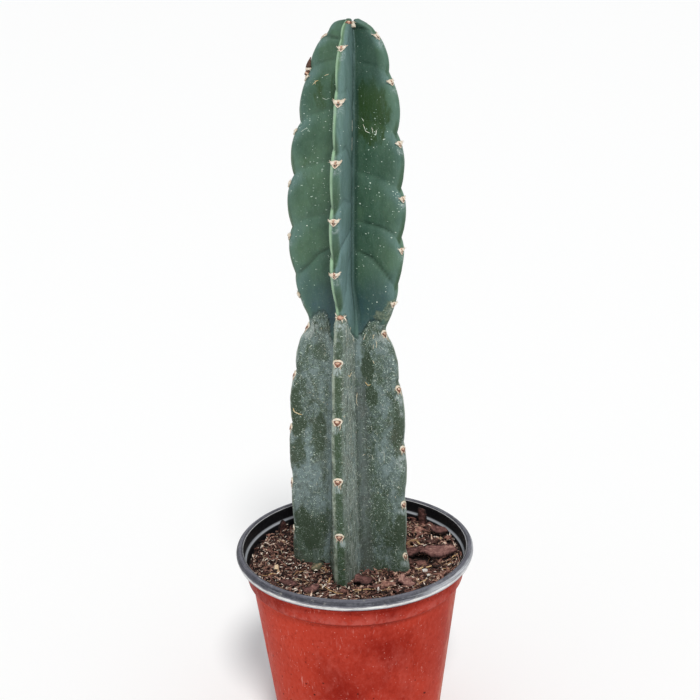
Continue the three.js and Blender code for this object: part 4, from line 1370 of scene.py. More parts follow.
def waist_cushion():
    """The cushion on the waist, in its own frame: a low pinkish heart among drawn-out wisps."""
    wool = []
    hearts = [(*dome(4.4, 2.3, 0.8, 4, 14, 0.12), 0.72)]
    low = np.linspace(-1.6, 1.6, 6)
    radii = [0.14, 0.3, 0.34, 0.34, 0.3, 0.14]
    hearts.append((*bow(low, -0.9 + 0.12 * low * low, 0.5, radii, 1, 6), 0.25))
    shares = np.array([0, 0.3, 0.65, 1])
    for x, y, to_x, to_y in WISPS:
        radii = np.array([0.42, 0.36, 0.24, 0.06]) * chance.uniform(0.8, 1.2)
        wool.append(bow(x + to_x * shares, y + to_y * shares**2, 0.3 + 0.25 * shares, radii, 1, 6))
    roots = [np.array([chance.uniform(-2.4, 2.4), chance.uniform(-1.3, 1.2), 0.3]) for _ in range(40)]
    leans = [np.array([root[0] * 0.5, root[1] * 0.7, 0.4]) + chance.normal(0, 0.25, 3) for root in roots]
    wool += hairs(roots, leans, chance.uniform(0.5, 1.3, 40), 0.1)
    return wool, [], hearts


def wool_finish(name, pale, dull, depth):
    finish = Finish(name)
    tone = finish.mix(finish.step(finish.clouds(800, 3), 0.35, 0.68), dull, pale)
    return finish.done(tone, 0.95, finish.relief(finish.clouds(2400, 2), depth), WOOL_GLOSS)


def make_toned(name, parts, tones, finish, slot, smooth=True):
    """A piece of many small parts, each with its own tone."""
    make_piece(name, *joined(parts), [finish], slot, smooth=smooth, measures={"tone": np.concatenate(tones)})


def make_cushions():
    wool, cork, hearts, tones = [], [], [], []
    for rib in range(5):
        for height in [h for h in CUSHION_HEIGHTS[rib] if h > LOWEST_CUSHION]:
            size = 1 - 0.25 * float(smooth(300, 335, height))
            if height > YOUNG_FROM:
                made = young_cushion(size)
            elif height == WAIST_CUSHION:
                made = waist_cushion()
            else:
                made = old_cushion(OLD_CUSHION_SIZE, 1.1)
            wool += [(on_crest(rib, height, points), faces) for points, faces in made[0]]
            cork += [(on_crest(rib, height, points), faces) for points, faces in made[1]]
            for points, faces, tone in made[2]:
                hearts.append((on_crest(rib, height, points), faces))
                tones.append(np.full(len(points), tone))
    points, faces = dome(3.9, 2.8, 1.2, 5, 14, 0.12)
    hearts.append((points + CROWN_TUFT, faces))
    tone = 0.2 + 0.7 * (abs(points[:, 0] - 0.2) < 0.6)
    tones.append(np.clip(tone + chance.normal(0, 0.12, len(points)), 0, 1))
    points, faces = dome(3.6, 2.8, 2.7, 5, 12, 0.18)
    wool.append((points + CROWN_WOOL, faces))
    roots = [np.array(CROWN_WOOL) + (chance.normal(0, 0.9), chance.normal(-0.4, 0.7), 2.3) for _ in range(26)]
    leans = [np.array([chance.normal(0, 0.6), chance.normal(0, 0.6), 0.5]) for _ in range(26)]
    wool += hairs(roots, leans, chance.uniform(0.5, 1.1, 26))
    for low, high, start, end, kind in DRIED_SCALE:
        crest, outs = flank(LEFT, 1, 0.0, np.linspace(low, high, 5))[:2]
        radii = np.linspace(start, end, 5)
        spine = crest + outs * (0.5 + 0.35 * radii)[:, None]
        scale = strand(spine, radii * chance.uniform(0.9, 1.1, 5), 8)
        if kind is None:
            wool.append(scale)
        else:
            hearts.append(scale)
            tones.append(np.full(len(scale[0]), kind))
    cream = wool_finish("cream wool", WOOL_WHITE, WOOL_CREAM, 0.0002)
    make_piece("cushion_wool", *joined(wool), [cream], "stem")
    grey = wool_finish("pale cork", WOOL_WHITE, WOOL_SHADE, 0.0001)
    make_piece("cushion_cork", *joined(cork), [grey], "stem")
    felt = Finish("brown felt")
    tone = felt.sum("tone", felt.step(felt.clouds(900, 3), 0.3, 0.7, -0.12, 0.12))
    nap = felt.relief(felt.clouds(2400, 2), 0.0002)
    brown = felt.done(felt.ramp(tone, HEART_TONES), 0.95, nap, WOOL_GLOSS)
    make_toned("cushion_hearts", hearts, tones, brown, "stem")


make_cushions()


# The flecks. Small raised scars of pale cork all over the skin: dots on the young flush, and on the
# old one a dense litter of fine curved scratches, with a few larger tan ones.
YOUNG_DOTS = 700
OLD_SCRATCHES = 3000
BACK_SCRATCHES = 1200
FLECK_GROUPS = {(LEFT, 1): "left", (FRONT, -1): "left", (FRONT, 1): "right", (RIGHT, -1): "right"}
FLECK_TONES = [
    (0.0, srgb(122, 144, 130)),
    (0.25, srgb(166, 190, 174)),
    (0.46, srgb(204, 220, 208)),
    (0.72, srgb(222, 226, 212)),
    (1.0, srgb(206, 176, 124)),
]
# Larger scratches: rib, side, half width, tone, and places as inward share and height
SCRATCHES = [
    (LEFT, 1, 0.45, 1.0, [(0.06, 103.5), (0.07, 101.2), (0.16, 100.2), (0.27, 99.6)]),
    (FRONT, 1, 0.4, 0.9, [(0.36, 134.5), (0.46, 132.6), (0.62, 134.4)]),
    (RIGHT, -1, 0.35, 0.95, [(0.9, 124.5), (0.8, 122.2), (0.72, 123.4)]),
    (RIGHT, -1, 0.3, 0.8, [(0.62, 139), (0.58, 137)]),
    (RIGHT, -1, 0.3, 0.85, [(0.86, 151), (0.78, 153.5), (0.72, 155)]),
    (RIGHT, -1, 0.32, 0.7, [(0.45, 152), (0.38, 154.5), (0.3, 155)]),
    (RIGHT, -1, 0.25, 0.8, [(0.55, 146), (0.5, 149)]),
    (RIGHT, -1, 0.25, 0.7, [(0.42, 147), (0.36, 150), (0.34, 152)]),
    (RIGHT, -1, 0.14, 0.7, [(0.45, 82), (0.45, 77), (0.46, 72)]),
    (RIGHT, -1, 0.22, 0.6, [(0.8, 285), (0.74, 283)]),
    (RIGHT, -1, 0.26, 0.6, [(0.76, 281.5), (0.7, 277.5), (0.6, 276.5)]),
    (RIGHT, -1, 0.34, 0.5, [(0.46, 278.5), (0.48, 275.5)]),
    (RIGHT, -1, 0.2, 0.6, [(0.56, 280), (0.54, 276)]),
    (FRONT, 1, 0.24, 0.65, [(0.87, 284), (0.87, 277)]),
    (FRONT, 1, 0.2, 0.65, [(0.9, 274), (0.9, 266)]),
    (LEFT, 1, 0.26, 0.9, [(0.22, 303.5), (0.3, 305.5), (0.36, 306)]),
    (LEFT, 1, 0.22, 0.9, [(0.26, 306), (0.3, 303.5)]),
    (LEFT, 1, 0.22, 0.8, [(0.5, 308.5), (0.62, 309.5)]),
    (LEFT, 1, 0.16, 0.3, [(0.14, 276.5), (0.22, 278.2), (0.3, 278.6)]),
    (LEFT, 1, 0.16, 0.3, [(0.5, 296), (0.6, 295), (0.7, 296)]),
    (FRONT, 1, 0.3, 0.8, [(0.95, 118), (0.92, 112), (0.96, 109)]),
    (FRONT, 1, 0.22, 0.8, [(0.55, 162), (0.6, 158)]),
    (FRONT, 1, 0.22, 0.8, [(0.68, 157), (0.74, 152)]),
    (LEFT, 1, 0.2, 0.6, [(0.2, 150), (0.26, 149)]),
    (LEFT, 1, 0.2, 0.6, [(0.3, 144), (0.38, 146)]),
]


def ridges(rib, side, inward, heights, half_widths, rises):
    """Low closed ridges on a flank, from rows of places along them. Three points a place."""
    along = np.interp(inward, INWARD_AT[1], INWARD_AT[0])
    spine, outs = flank(rib, side, along, heights)[:2]
    spine = weathered(spine, rib, side, inward, heights)
    ahead = np.gradient(spine, axis=1)
    ahead /= np.linalg.norm(ahead, axis=-1, keepdims=True)
    across = np.cross(ahead, outs)
    across /= np.linalg.norm(across, axis=-1, keepdims=True)
    wide = np.asarray(half_widths)[..., None]
    high = np.asarray(rises)[..., None]
    feet = [spine - across * wide - outs * 0.05, spine + across * wide - outs * 0.05]
    return joined([bar(rings) for rings in np.stack([*feet, spine + outs * high], axis=2)])


def fleck_chance(rib, side, inward, height):
    """How likely a fleck is at each place: they gather under the folds and in drifts."""
    crest_height = crest_height_of(rib, side, inward, height)
    nearest = lobe(rib, crest_height)[2]
    places = zip(inward * 4, height / 13)
    drift = np.array([noise.noise(Vector((*place, rib * 7.0 + side))) for place in places])
    few = (1 - 0.9 * smooth(290, 306, height)) * (0.4 + 0.6 * smooth(210, 245, height))
    return few * np.clip(0.26 + 0.5 * bell(nearest, -7, 5.5) + 0.8 * drift, 0.03, 1)


def young_dots(rib, side):
    """Small level dots of cork on the young flush, with their tones."""
    inward = chance.uniform(0.03, 0.93, YOUNG_DOTS)
    height = chance.uniform(166, 326, YOUNG_DOTS)
    keep = chance.random(YOUNG_DOTS) < fleck_chance(rib, side, inward, height)
    if (rib, side) == (FRONT, 1):
        keep &= inward < 0.12
    inward, height = inward[keep, None], height[keep, None]
    size = np.clip(chance.lognormal(-1.42, 0.4, inward.shape), 0.12, 0.55)
    steps = np.array([-1.0, -0.6, 0.6, 1.0])
    stretch = chance.uniform(0.7, 1.3, inward.shape)
    heights = height + steps * size * chance.normal(0, 0.25, inward.shape)
    inwards = np.clip(inward + steps * size * stretch / (1.2 * FLANK_LENGTH), 0.012, 0.97)
    wide = size / stretch * np.array([0.35, 0.95, 0.95, 0.35])
    tones = np.clip(chance.normal(0.08, 0.16, len(inward)), -0.25, 0.5)
    return ridges(rib, side, inwards, heights, wide, np.full_like(wide, 0.09)), np.repeat(tones, 12)


def old_scratches(rib, side, count):
    """Fine curved scratches on the old flush, with their tones."""
    inward = chance.uniform(0.015, 0.97, (count, 1))
    height = chance.uniform(0, 170, (count, 1))
    is_old = age_of(rib, side, inward, height) > 0.5
    likely = chance.random(inward.shape) < 0.45 + 0.55 * smooth(10, 60, height)
    bare = chance.random(inward.shape) < 0.8 * patches(RUBBED, rib, side, inward, height)
    keep = (is_old & likely & ~bare)[:, 0]
    inward, height = inward[keep], height[keep]
    long = np.clip(chance.lognormal(-0.2, 0.55, inward.shape), 0.35, 3.0)
    heading = chance.uniform(0, 2 * math.pi, inward.shape)
    steps = np.array([-1.0, -0.33, 0.33, 1.0])
    turn = heading + chance.normal(0, 0.55, inward.shape) * steps
    inwards = np.clip(inward + steps * long / 2 * np.cos(turn) / FLANK_LENGTH, 0.01, 0.98)
    heights = height + steps * long / 2 * np.sin(turn)
    wide = np.clip(chance.lognormal(-2.35, 0.5, inward.shape), 0.05, 0.32) * np.array([0.4, 1.0, 0.9, 0.3])
    tones = np.clip(chance.normal(0.16, 0.28, len(inward)), -0.3, 0.8)
    return ridges(rib, side, inwards, heights, wide, np.minimum(wide * 0.6, 0.1)), np.repeat(tones, 12)


def large_scratch(rib, side, half_width, places):
    places = np.array(places)
    shares = np.linspace(0, 1, len(places))
    inward, height = [np.interp(np.linspace(0, 1, 9), shares, column)[None, :] for column in places.T]
    wide = (half_width * np.array([0.5, 0.9, 1.1, 0.9, 1.1, 1.0, 0.9, 0.7, 0.3]))[None, :]
    return ridges(rib, side, inward, height, wide, wide * 0.6)


def make_flecks():
    groups = {"left": ([], []), "right": ([], []), "back": ([], [])}
    for rib, side in HALVES:
        group = FLECK_GROUPS.get((rib, side), "back")
        count = BACK_SCRATCHES if group == "back" else OLD_SCRATCHES
        for part, tones in (young_dots(rib, side), old_scratches(rib, side, count)):
            groups[group][0].append(part)
            groups[group][1].append(tones)
    for rib, side, half_width, tone, places in SCRATCHES:
        parts, tones = groups[FLECK_GROUPS[rib, side]]
        parts.append(large_scratch(rib, side, half_width, places))
        tones.append(np.full(len(parts[-1][0]), tone))
    finish = Finish("pale cork flecks")
    tone = finish.sum("tone", finish.step(finish.clouds(500, 3), 0.3, 0.7, -0.15, 0.15))
    cork = finish.done(finish.ramp(tone, FLECK_TONES), 0.85, gloss=0.25)
    for group, (parts, tones) in groups.items():
        toned = [0.25 + 0.75 * tone for tone in tones]
        make_toned(f"skin_flecks_{group}", parts, toned, cork, "stem")


make_flecks()


# The large flakes. Nine flat pieces of reddish bark that lie on the mix, two of them stuck in it on
# edge; each is split along its grain, so its ends taper and its edges are broken.
FLAKE_ROWS = 44
FLAKE_COLUMNS = 11
# Place, rise over the soil, turn, tilts, length, width, thickness, and tone
FLAKES = [
    ((54.0, 0.6), 5.0, -10, (20, -6), 24.5, 11.4, 1.8, 0.7),
    ((38.6, 6.0), 2.8, -8, (18, -18), 16, 8.8, 1.6, 0.5),
    ((46.6, 46.6), 4.8, 45, (0, 86), 17, 7.8, 1.6, 0.5),
    ((-48.6, 43.6), 3.4, 135, (0, 80), 12, 6.6, 1.6, 0.45),
    ((4.6, -28), 1.6, -24, (24, 6), 11.6, 7.8, 1.6, 0.5),
    ((32, -32), 2.0, -38, (24, 4), 12.5, 7.6, 1.6, 0.84),
    ((-42, -31), 2.2, -30, (20, -6), 14.5, 6.4, 1.6, 0.5),
    ((-27.5, -37.5), 1.4, 26, (20, 4), 12.5, 6.6, 1.6, 0.6),
    ((56.5, 30), 5.4, -22, (20, 0), 12.5, 6.6, 1.6, 0.55),
]
# The far and the near edge of each flake that shows its shape: share of length, share of width
FLAKE_EDGES = {
    1: ([(-1, 0.15), (-0.62, 0.9), (-0.3, 0.85), (0.3, 0.95), (0.72, 0.9), (1, 0.1)],
        [(-1, -0.1), (-0.68, -0.3), (-0.3, -0.95), (0.14, -1.0), (0.3, -0.75), (0.7, -0.4), (1, 0.0)]),
    2: ([(-1, 0.6), (-0.2, 0.8), (0.6, 0.75), (1, 0.2)],
        [(-1, -0.6), (-0.3, -1), (0.3, -0.6), (1, 0.1)]),
    3: ([(-1, 0.8), (-0.2, 1), (0.6, 0.7), (1, 0.25)],
        [(-1, -0.7), (0.0, -1), (0.7, -0.8), (1, 0.1)]),
    5: ([(-1, 0.5), (-0.7, 1), (-0.1, 0.55), (0.1, 0.8), (0.75, 0.9), (1, 0.5)],
        [(-1, 0.1), (-0.75, -0.9), (-0.2, -0.6), (0.1, -1), (0.8, -0.7), (1, -0.2)]),
    6: ([(-1, 0.9), (-0.6, 1), (-0.35, 0.5), (0.2, 0.75), (0.6, 0.3), (1, 0.2)],
        [(-1, 0.3), (-0.8, -0.7), (-0.2, -0.8), (0.1, -1), (0.7, -0.9), (1, -0.3)]),
    7: ([(-1, 0.1), (-0.5, 0.8), (0.1, 1), (0.5, 0.6), (1, 0.2)],
        [(-1, -0.1), (-0.2, -0.7), (0.4, -1), (1, -0.1)]),
    8: ([(-1, -0.1), (-0.6, 0.6), (-0.1, 0.5), (0.4, 1), (0.9, 0.9), (1, 0.5)],
        [(-1, -0.4), (-0.3, -1), (0.4, -0.8), (1, 0.1)]),
}
PLAIN_EDGES = (
    [(-1, 0.1), (-0.7, 0.8), (0, 1), (0.6, 0.8), (1, 0.1)],
    [(-1, -0.1), (-0.5, -0.9), (0.3, -1), (1, -0.1)],
)
BARK_TONES = [
    (0.0, srgb(28, 15, 13)),
    (0.35, srgb(82, 50, 46)),
    (0.7, srgb(134, 94, 88)),
    (1.0, srgb(192, 152, 136)),
]


def bark_finish():
    """Dry reddish bark with a fine grain along the flake and darker hollows."""
    finish = Finish("dry bark")
    tone = finish.sum("tone", finish.step(finish.clouds(200, 5, 0.7), 0.25, 0.75, -0.18, 0.18))
    grain = finish.clouds(700, 4, 0.65, (0.3, 1, 1))
    tone = finish.sum(tone, finish.step(grain, 0.3, 0.7, -0.14, 0.14))
    return finish.done(finish.ramp(tone, BARK_TONES), 0.85, finish.relief(grain, 0.0005))


def under_flake(x, y, share):
    """Whether a place lies under a flake, out to a share of its size."""
    for (at_x, at_y), _, yaw, _, length, width, _, _ in FLAKES[:2] + FLAKES[4:]:
        turn = math.radians(yaw)
        along = (x - at_x) * math.cos(turn) + (y - at_y) * math.sin(turn)
        across = (y - at_y) * math.cos(turn) - (x - at_x) * math.sin(turn)
        if (along / length * 2) ** 2 + (across / width * 2) ** 2 < share * share:
            return True
    return False


def flake_points(number, length, width, thick, tone):
    """The points of a flake in its own frame, row by row along its grain, first those of its upper
    sheet and then those of its lower one, and the tone of each."""
    far_edge, near_edge = FLAKE_EDGES.get(number, PLAIN_EDGES)
    phase = number * 1.7
    points, tones = [], []
    for face, s in itertools.product((1, -1), np.linspace(-1, 1, FLAKE_ROWS)):
        ragged = 0.05 * math.sin(31 * s + phase) + 0.04 * math.sin(57 * s + 3 * phase)
        near = np.interp(s, *np.array(near_edge).T) + 0.06 * math.sin(43 * s + phase)
        far = max(np.interp(s, *np.array(far_edge).T) + ragged, near + 0.12)
        for t in np.linspace(0, 1, FLAKE_COLUMNS):
            rim = min(1.0, 5 * t, 5 * (1 - t), 9 * (1 - abs(s)) + 0.15)
            swell = 0.3 * math.sin(4 * s + phase) + 0.22 * math.sin(9 * s + 5 * t)
            swell += 0.45 * noise.noise(Vector((s * 5, t * 3, number)))
            step = 0.3 if noise.noise(Vector((s * 3 + 7, t * 6, number))) > 0.05 else 0.0
            lift = face * thick / 2 * (0.7 + 0.3 * rim) + 0.35 * swell + step * (face == 1) * rim
            points.append((s * length / 2, (near + (far - near) * t) * width / 2, lift))
            mottle = 0.2 * noise.noise(Vector((s * 4, t * 8, number + 3)))
            # Painted shade: each flake's tone darkens towards its broken edges and its ends.
            tones.append(tone + 0.3 * step - 0.1 - 0.4 * (1 - rim) + mottle)
    return points, tones


def flake_faces():
    """The faces of a flake: its two sheets, and the broken edge that joins them."""
    row = FLAKE_COLUMNS
    sheet = FLAKE_ROWS * row
    faces = []
    for start in range(0, sheet - row, row):
        for a in range(start, start + row - 1):
            faces.append((a, a + row, a + row + 1, a + 1))
            faces.append((sheet + a, sheet + a + 1, sheet + a + row + 1, sheet + a + row))
    border = [*range(0, sheet - row, row), *range(sheet - row, sheet - 1)]
    border += [*range(sheet - 1, row - 1, -row), *range(row - 1, 0, -1)]
    for a, b in zip(border, border[1:] + border[:1]):
        faces.append((a, sheet + a, sheet + b, b))
    return faces


def laid(points, place, yaw, tilt_x=0.0, tilt_y=0.0):
    """Points turned by angles in degrees and moved to a place."""
    turn = Matrix.Rotation(math.radians(yaw), 3, "Z")
    turn = turn @ Matrix.Rotation(math.radians(tilt_x), 3, "X")
    turn = turn @ Matrix.Rotation(math.radians(tilt_y), 3, "Y")
    return np.asarray(points) @ np.array(turn).T + np.asarray(place)


def make_flakes():
    finish = bark_finish()
    for number, ((x, y), rise, yaw, tilts, length, width, thick, tone) in enumerate(FLAKES, start=1):
        points, tones = flake_points(number, length, width, thick, tone)
        points = laid(points, (x, y, SOIL_LEVEL + rise), yaw, *tilts)
        name = f"bark_flake_{number}"
        measures = {"tone": tones}
        make_piece(f"{name}_fine", points, flake_faces(), [finish], "bark", [name], False, measures)


make_flakes()


# The potting mix. Damp crumbled bark that fills the pot to 14 mm below its rim, heaped a little
# against the wall, with fibres, splinters and a few white beads of perlite on top.
SOIL_WAVE = 0.7
SOIL_EDGE_RISE = 1.0
SOIL_RIGHT_RISE = 3.8
SOIL_FOOT_SINK = 1.8
SOIL_RADIUS = 68.0
# Splinters, chips and fibres: how many, and how far from the pot's axis they lie
SHRED_COUNT = 5600
SHRED_REACH = 67.6
CHIP_COUNT = 1000
CHIP_REACH = 67.0
FIBRE_COUNT = 330
FIBRE_REACH = 65.5
FIBRE_END_REACH = 67.0
# Splinters from here outwards lie along the wall
BY_WALL = 63.0
MIX_RINGS = 92
MIX_SIDES = 300
MIX_GRAIN = 1.1
# A hollow in front of the stem: its place, its reach across and along, and its depth
HOLLOW = (-15.0, -20.5, 4.2, 6.5, 6.0)
# Rings of the mix under its surface, down the pot's wall, as radius and height
FILL_WALL = [(67.8, 121.0), (65.0, 117.8), (49.6, 4.4)]
CRUMB_TONES = [
    (0.0, srgb(20, 9, 7)),
    (0.25, srgb(56, 34, 29)),
    (0.5, srgb(106, 70, 62)),
    (0.7, srgb(154, 110, 96)),
    (0.85, srgb(204, 168, 146)),
    (1.0, srgb(248, 236, 220)),
]
FIBRE_TONES = [
    (0.0, srgb(90, 60, 48)),
    (0.4, srgb(140, 104, 82)),
    (0.75, srgb(190, 160, 126)),
    (1.0, srgb(216, 198, 168)),
]


def soil_height(x, y):
    """The soil's level at a place: low waves, and a bank up to the pot's wall."""
    wave = (
        np.sin(x / 7.5 + 1.3) * np.cos(y / 9 - 0.4)
        + 0.6 * np.sin(x / 3.9 - y / 5.1)
        + 0.5 * np.cos(y / 4.2 + x / 11)
    )
    at_x, at_y, wide, long, deep = HOLLOW
    hollow = deep * bell(x, at_x, wide) * bell(y, at_y, long)
    from_axis = np.hypot(x, y)
    to_right = np.clip((0.98 * x - 0.17 * y) / np.maximum(from_axis, 1), 0, 1) ** 4
    bank = SOIL_EDGE_RISE * smooth(46, 68, from_axis)
    bank = bank + SOIL_RIGHT_RISE * to_right * smooth(56, 68, from_axis)
    sunk = (SOIL_FOOT_SINK + 1.4 * smooth(20, 38, np.abs(x))) * smooth(54, 41, from_axis)
    return SOIL_LEVEL + SOIL_WAVE * wave + bank - hollow - sunk


def on_soil(x, y, rise):
    """A place at a rise over the soil's level."""
    return x, y, float(soil_height(x, y)) + rise


def against_wall(x, y, z):
    """A place near the mix's edge, moved out to the wall, which leans outwards as it rises."""
    low, high = STEP_HEIGHT + 0.8, LEDGE_HEIGHT - 0.7
    wall = np.interp(z, (low, high), (COLLAR_RADIUS - POT_WALL, LEDGE_RADIUS - POT_WALL)) - 0.15
    spread = 1 + (wall / SOIL_RADIUS - 1) * smooth(58, SOIL_RADIUS, np.hypot(x, y))
    return x * spread, y * spread


def stem_outline(lift):
    """The stem's outline at the soil's level, as places in the plane."""
    return np.array([flank(*column, 0.0, lift)[0][:2] for column in stem_columns()])


def inside(outline, x, y):
    """Whether a place lies inside an outline."""
    x0, y0 = outline[:, 0], outline[:, 1]
    x1, y1 = np.roll(x0, -1), np.roll(y0, -1)
    crosses = (y0 > y) != (y1 > y)
    at = x0 + (y - y0) / np.where(crosses, y1 - y0, 1) * (x1 - x0)
    return bool((crosses & (x < at)).sum() % 2)


def chip(length, width, thick, corners=7, ragged=0.18, pointed=0.0):
    """A flat chip of bark with an uneven outline and broken edges, in its own frame."""
    points = []
    for level, inset in ((-0.5, 0.86), (0.0, 1.0), (0.5, 0.84)):
        for j in range(corners):
            angle = j / corners * 2 * math.pi
            reach = 1 + ragged * math.sin(j * 2.4 + length * 3) + 0.06 * chance.normal()
            narrow = 1 - pointed * abs(math.cos(angle)) ** 2
            x = length / 2 * math.cos(angle) * reach * inset
            y = width / 2 * math.sin(angle) * reach * inset * narrow
            points.append((x, y, thick * (level + 0.12 * chance.normal())))
    return bar(np.reshape(points, (3, corners, 3)))


def shred(length, width, thick, bend, arch):
    """A curved splinter of bark, thinner at its ends, in its own frame."""
    points = []
    for s, narrow in ((-0.5, 0.35), (-0.17, 1.0), (0.17, 0.9), (0.5, 0.3)):
        middle_y = bend * length * (s * s - 0.08)
        middle_z = arch * length * (0.12 - s * s)
        for y, z in ((-1, -1), (1, -1), (1, 1), (-1, 1)):
            across = y * width / 2 * narrow * (1 + 0.2 * chance.normal())
            points.append((s * length, middle_y + across, middle_z + z * thick / 2 * narrow))
    return bar(np.reshape(points, (4, 4, 3)))


def mix_finish(name, stops, relief=0.0003):
    """Crumbled bark: every crumb has its own tone, with grain and damp dark places."""
    finish = Finish(name)
    tone = finish.sum("tone", finish.step(finish.clouds(520, 4, 0.65), 0.25, 0.75, -0.17, 0.17))
    grain = finish.relief(finish.clouds(1500, 4, 0.6), relief)
    return finish.done(finish.ramp(tone, stops), 0.82, grain)


def make_soil():
    """The body of the mix: a fine uneven surface over the plain fill."""
    angles = np.arange(MIX_SIDES) / MIX_SIDES * 2 * np.pi
    radii = np.linspace(0.5, SOIL_RADIUS, MIX_RINGS)[:, None]
    x, y = radii * np.cos(angles), radii * np.sin(angles)
    grain = np.array([noise.noise(Vector((a / 2.1, b / 2.1, 3.0))) for a, b in zip(x.flat, y.flat)])
    z = soil_height(x, y) - 0.9 + MIX_GRAIN * grain.reshape(x.shape)
    rings = list(np.stack([*against_wall(x, y, z), z], axis=-1))
    for radius, height in FILL_WALL:
        low = np.full(MIX_SIDES, height)
        rings.append(np.stack([radius * np.cos(angles), radius * np.sin(angles), low], axis=-1))
    points, faces = closed_skin(rings, (0, 0, z[0].mean()), (0, 0, FILL_WALL[-1][1]))
    faces = [face[::-1] for face in faces]
    # Painted shade: the body of the mix under the crumbs takes the darkest tones, partly damp bark and partly
    # the shade in the gaps between the crumbs.
    tone = 0.02 + 0.1 * chance.random(len(points))
    finish = mix_finish("damp mix and gap shade", CRUMB_TONES, 0.0006)
    make_piece("potting_mix", points, faces, [finish], "soil", ["soil"], True, {"tone": tone})


def scatter(outline, reach):
    """A place on the soil at random, clear of the stem."""
    while True:
        radius = reach * math.sqrt(chance.uniform(0, 1))
        angle = chance.uniform(0, 2 * math.pi)
        x, y = radius * math.cos(angle), radius * math.sin(angle)
        if not inside(outline, x, y):
            return x, y


# The larger chips, one by one: place, rise, turn, tilts, length, width, and tone
PLACED_CHIPS = [
    ((43.4, 37.3), 2.0, -32, (30, 10), 8.0, 6.5, 0.64),
    ((50.7, 36.4), 1.8, -40, (24, 0), 8.5, 4.2, 0.28),
    ((43.3, -3.8), 1.8, -8, (26, 4), 10.0, 6.6, 0.48),
    ((35.8, 0.5), 1.6, -50, (16, 10), 8.0, 5.0, 0.34),
    ((20.2, -31.8), 1.8, -8, (26, 0), 10.5, 5.2, 0.68),
    ((13.2, -33.6), 1.4, 12, (22, 0), 6.0, 4.2, 0.5),
    ((26.0, -27.5), 1.4, 10, (20, 0), 7.5, 4.6, 0.36),
    ((8.1, -13.4), 1.4, 12, (24, 0), 7.0, 4.5, 0.54),
    ((26.0, -41.5), 1.2, 20, (20, 0), 6.0, 3.8, 0.42),
    ((50.5, 20.0), 1.8, -30, (26, 0), 7.5, 4.6, 0.36),
    ((62.0, 21.0), 1.6, 25, (20, 0), 6.0, 3.6, 0.56),
    ((51.0, 44.0), 1.6, 12, (24, 0), 7.0, 4.2, 0.44),
    ((35.0, 44.0), 1.6, -20, (24, 0), 7.0, 4.2, 0.5),
    ((52.0, -23.0), 1.4, 40, (20, 0), 6.5, 3.6, 0.32),
    ((-57.4, 36.2), 1.2, 20, (20, 0), 3.4, 2.0, 0.6),
    ((-41.6, -31.1), 1.6, -30, (26, 0), 10.0, 5.2, 0.46),
    ((-29.7, -35.4), 1.6, 30, (26, 4), 8.5, 5.4, 0.5),
    ((-51.4, -30.0), 1.2, -30, (18, 0), 8.0, 4.4, 0.26),
    ((-36.0, 35.0), 1.4, 60, (24, 0), 6.5, 4.0, 0.48),
    ((-50.0, 22.0), 1.2, -10, (16, 0), 6.0, 3.4, 0.34),
    ((-8.0, -36.5), 1.2, -15, (20, 4), 6.0, 4.0, 0.5),
    ((0.0, 56.0), 1.4, 15, (10, 5), 9.0, 6.0, 0.5),
    ((24.0, 60.0), 1.4, -25, (10, 5), 8.0, 5.0, 0.6),
    ((-20.0, 58.0), 1.4, 35, (12, 5), 8.0, 5.5, 0.45),
]


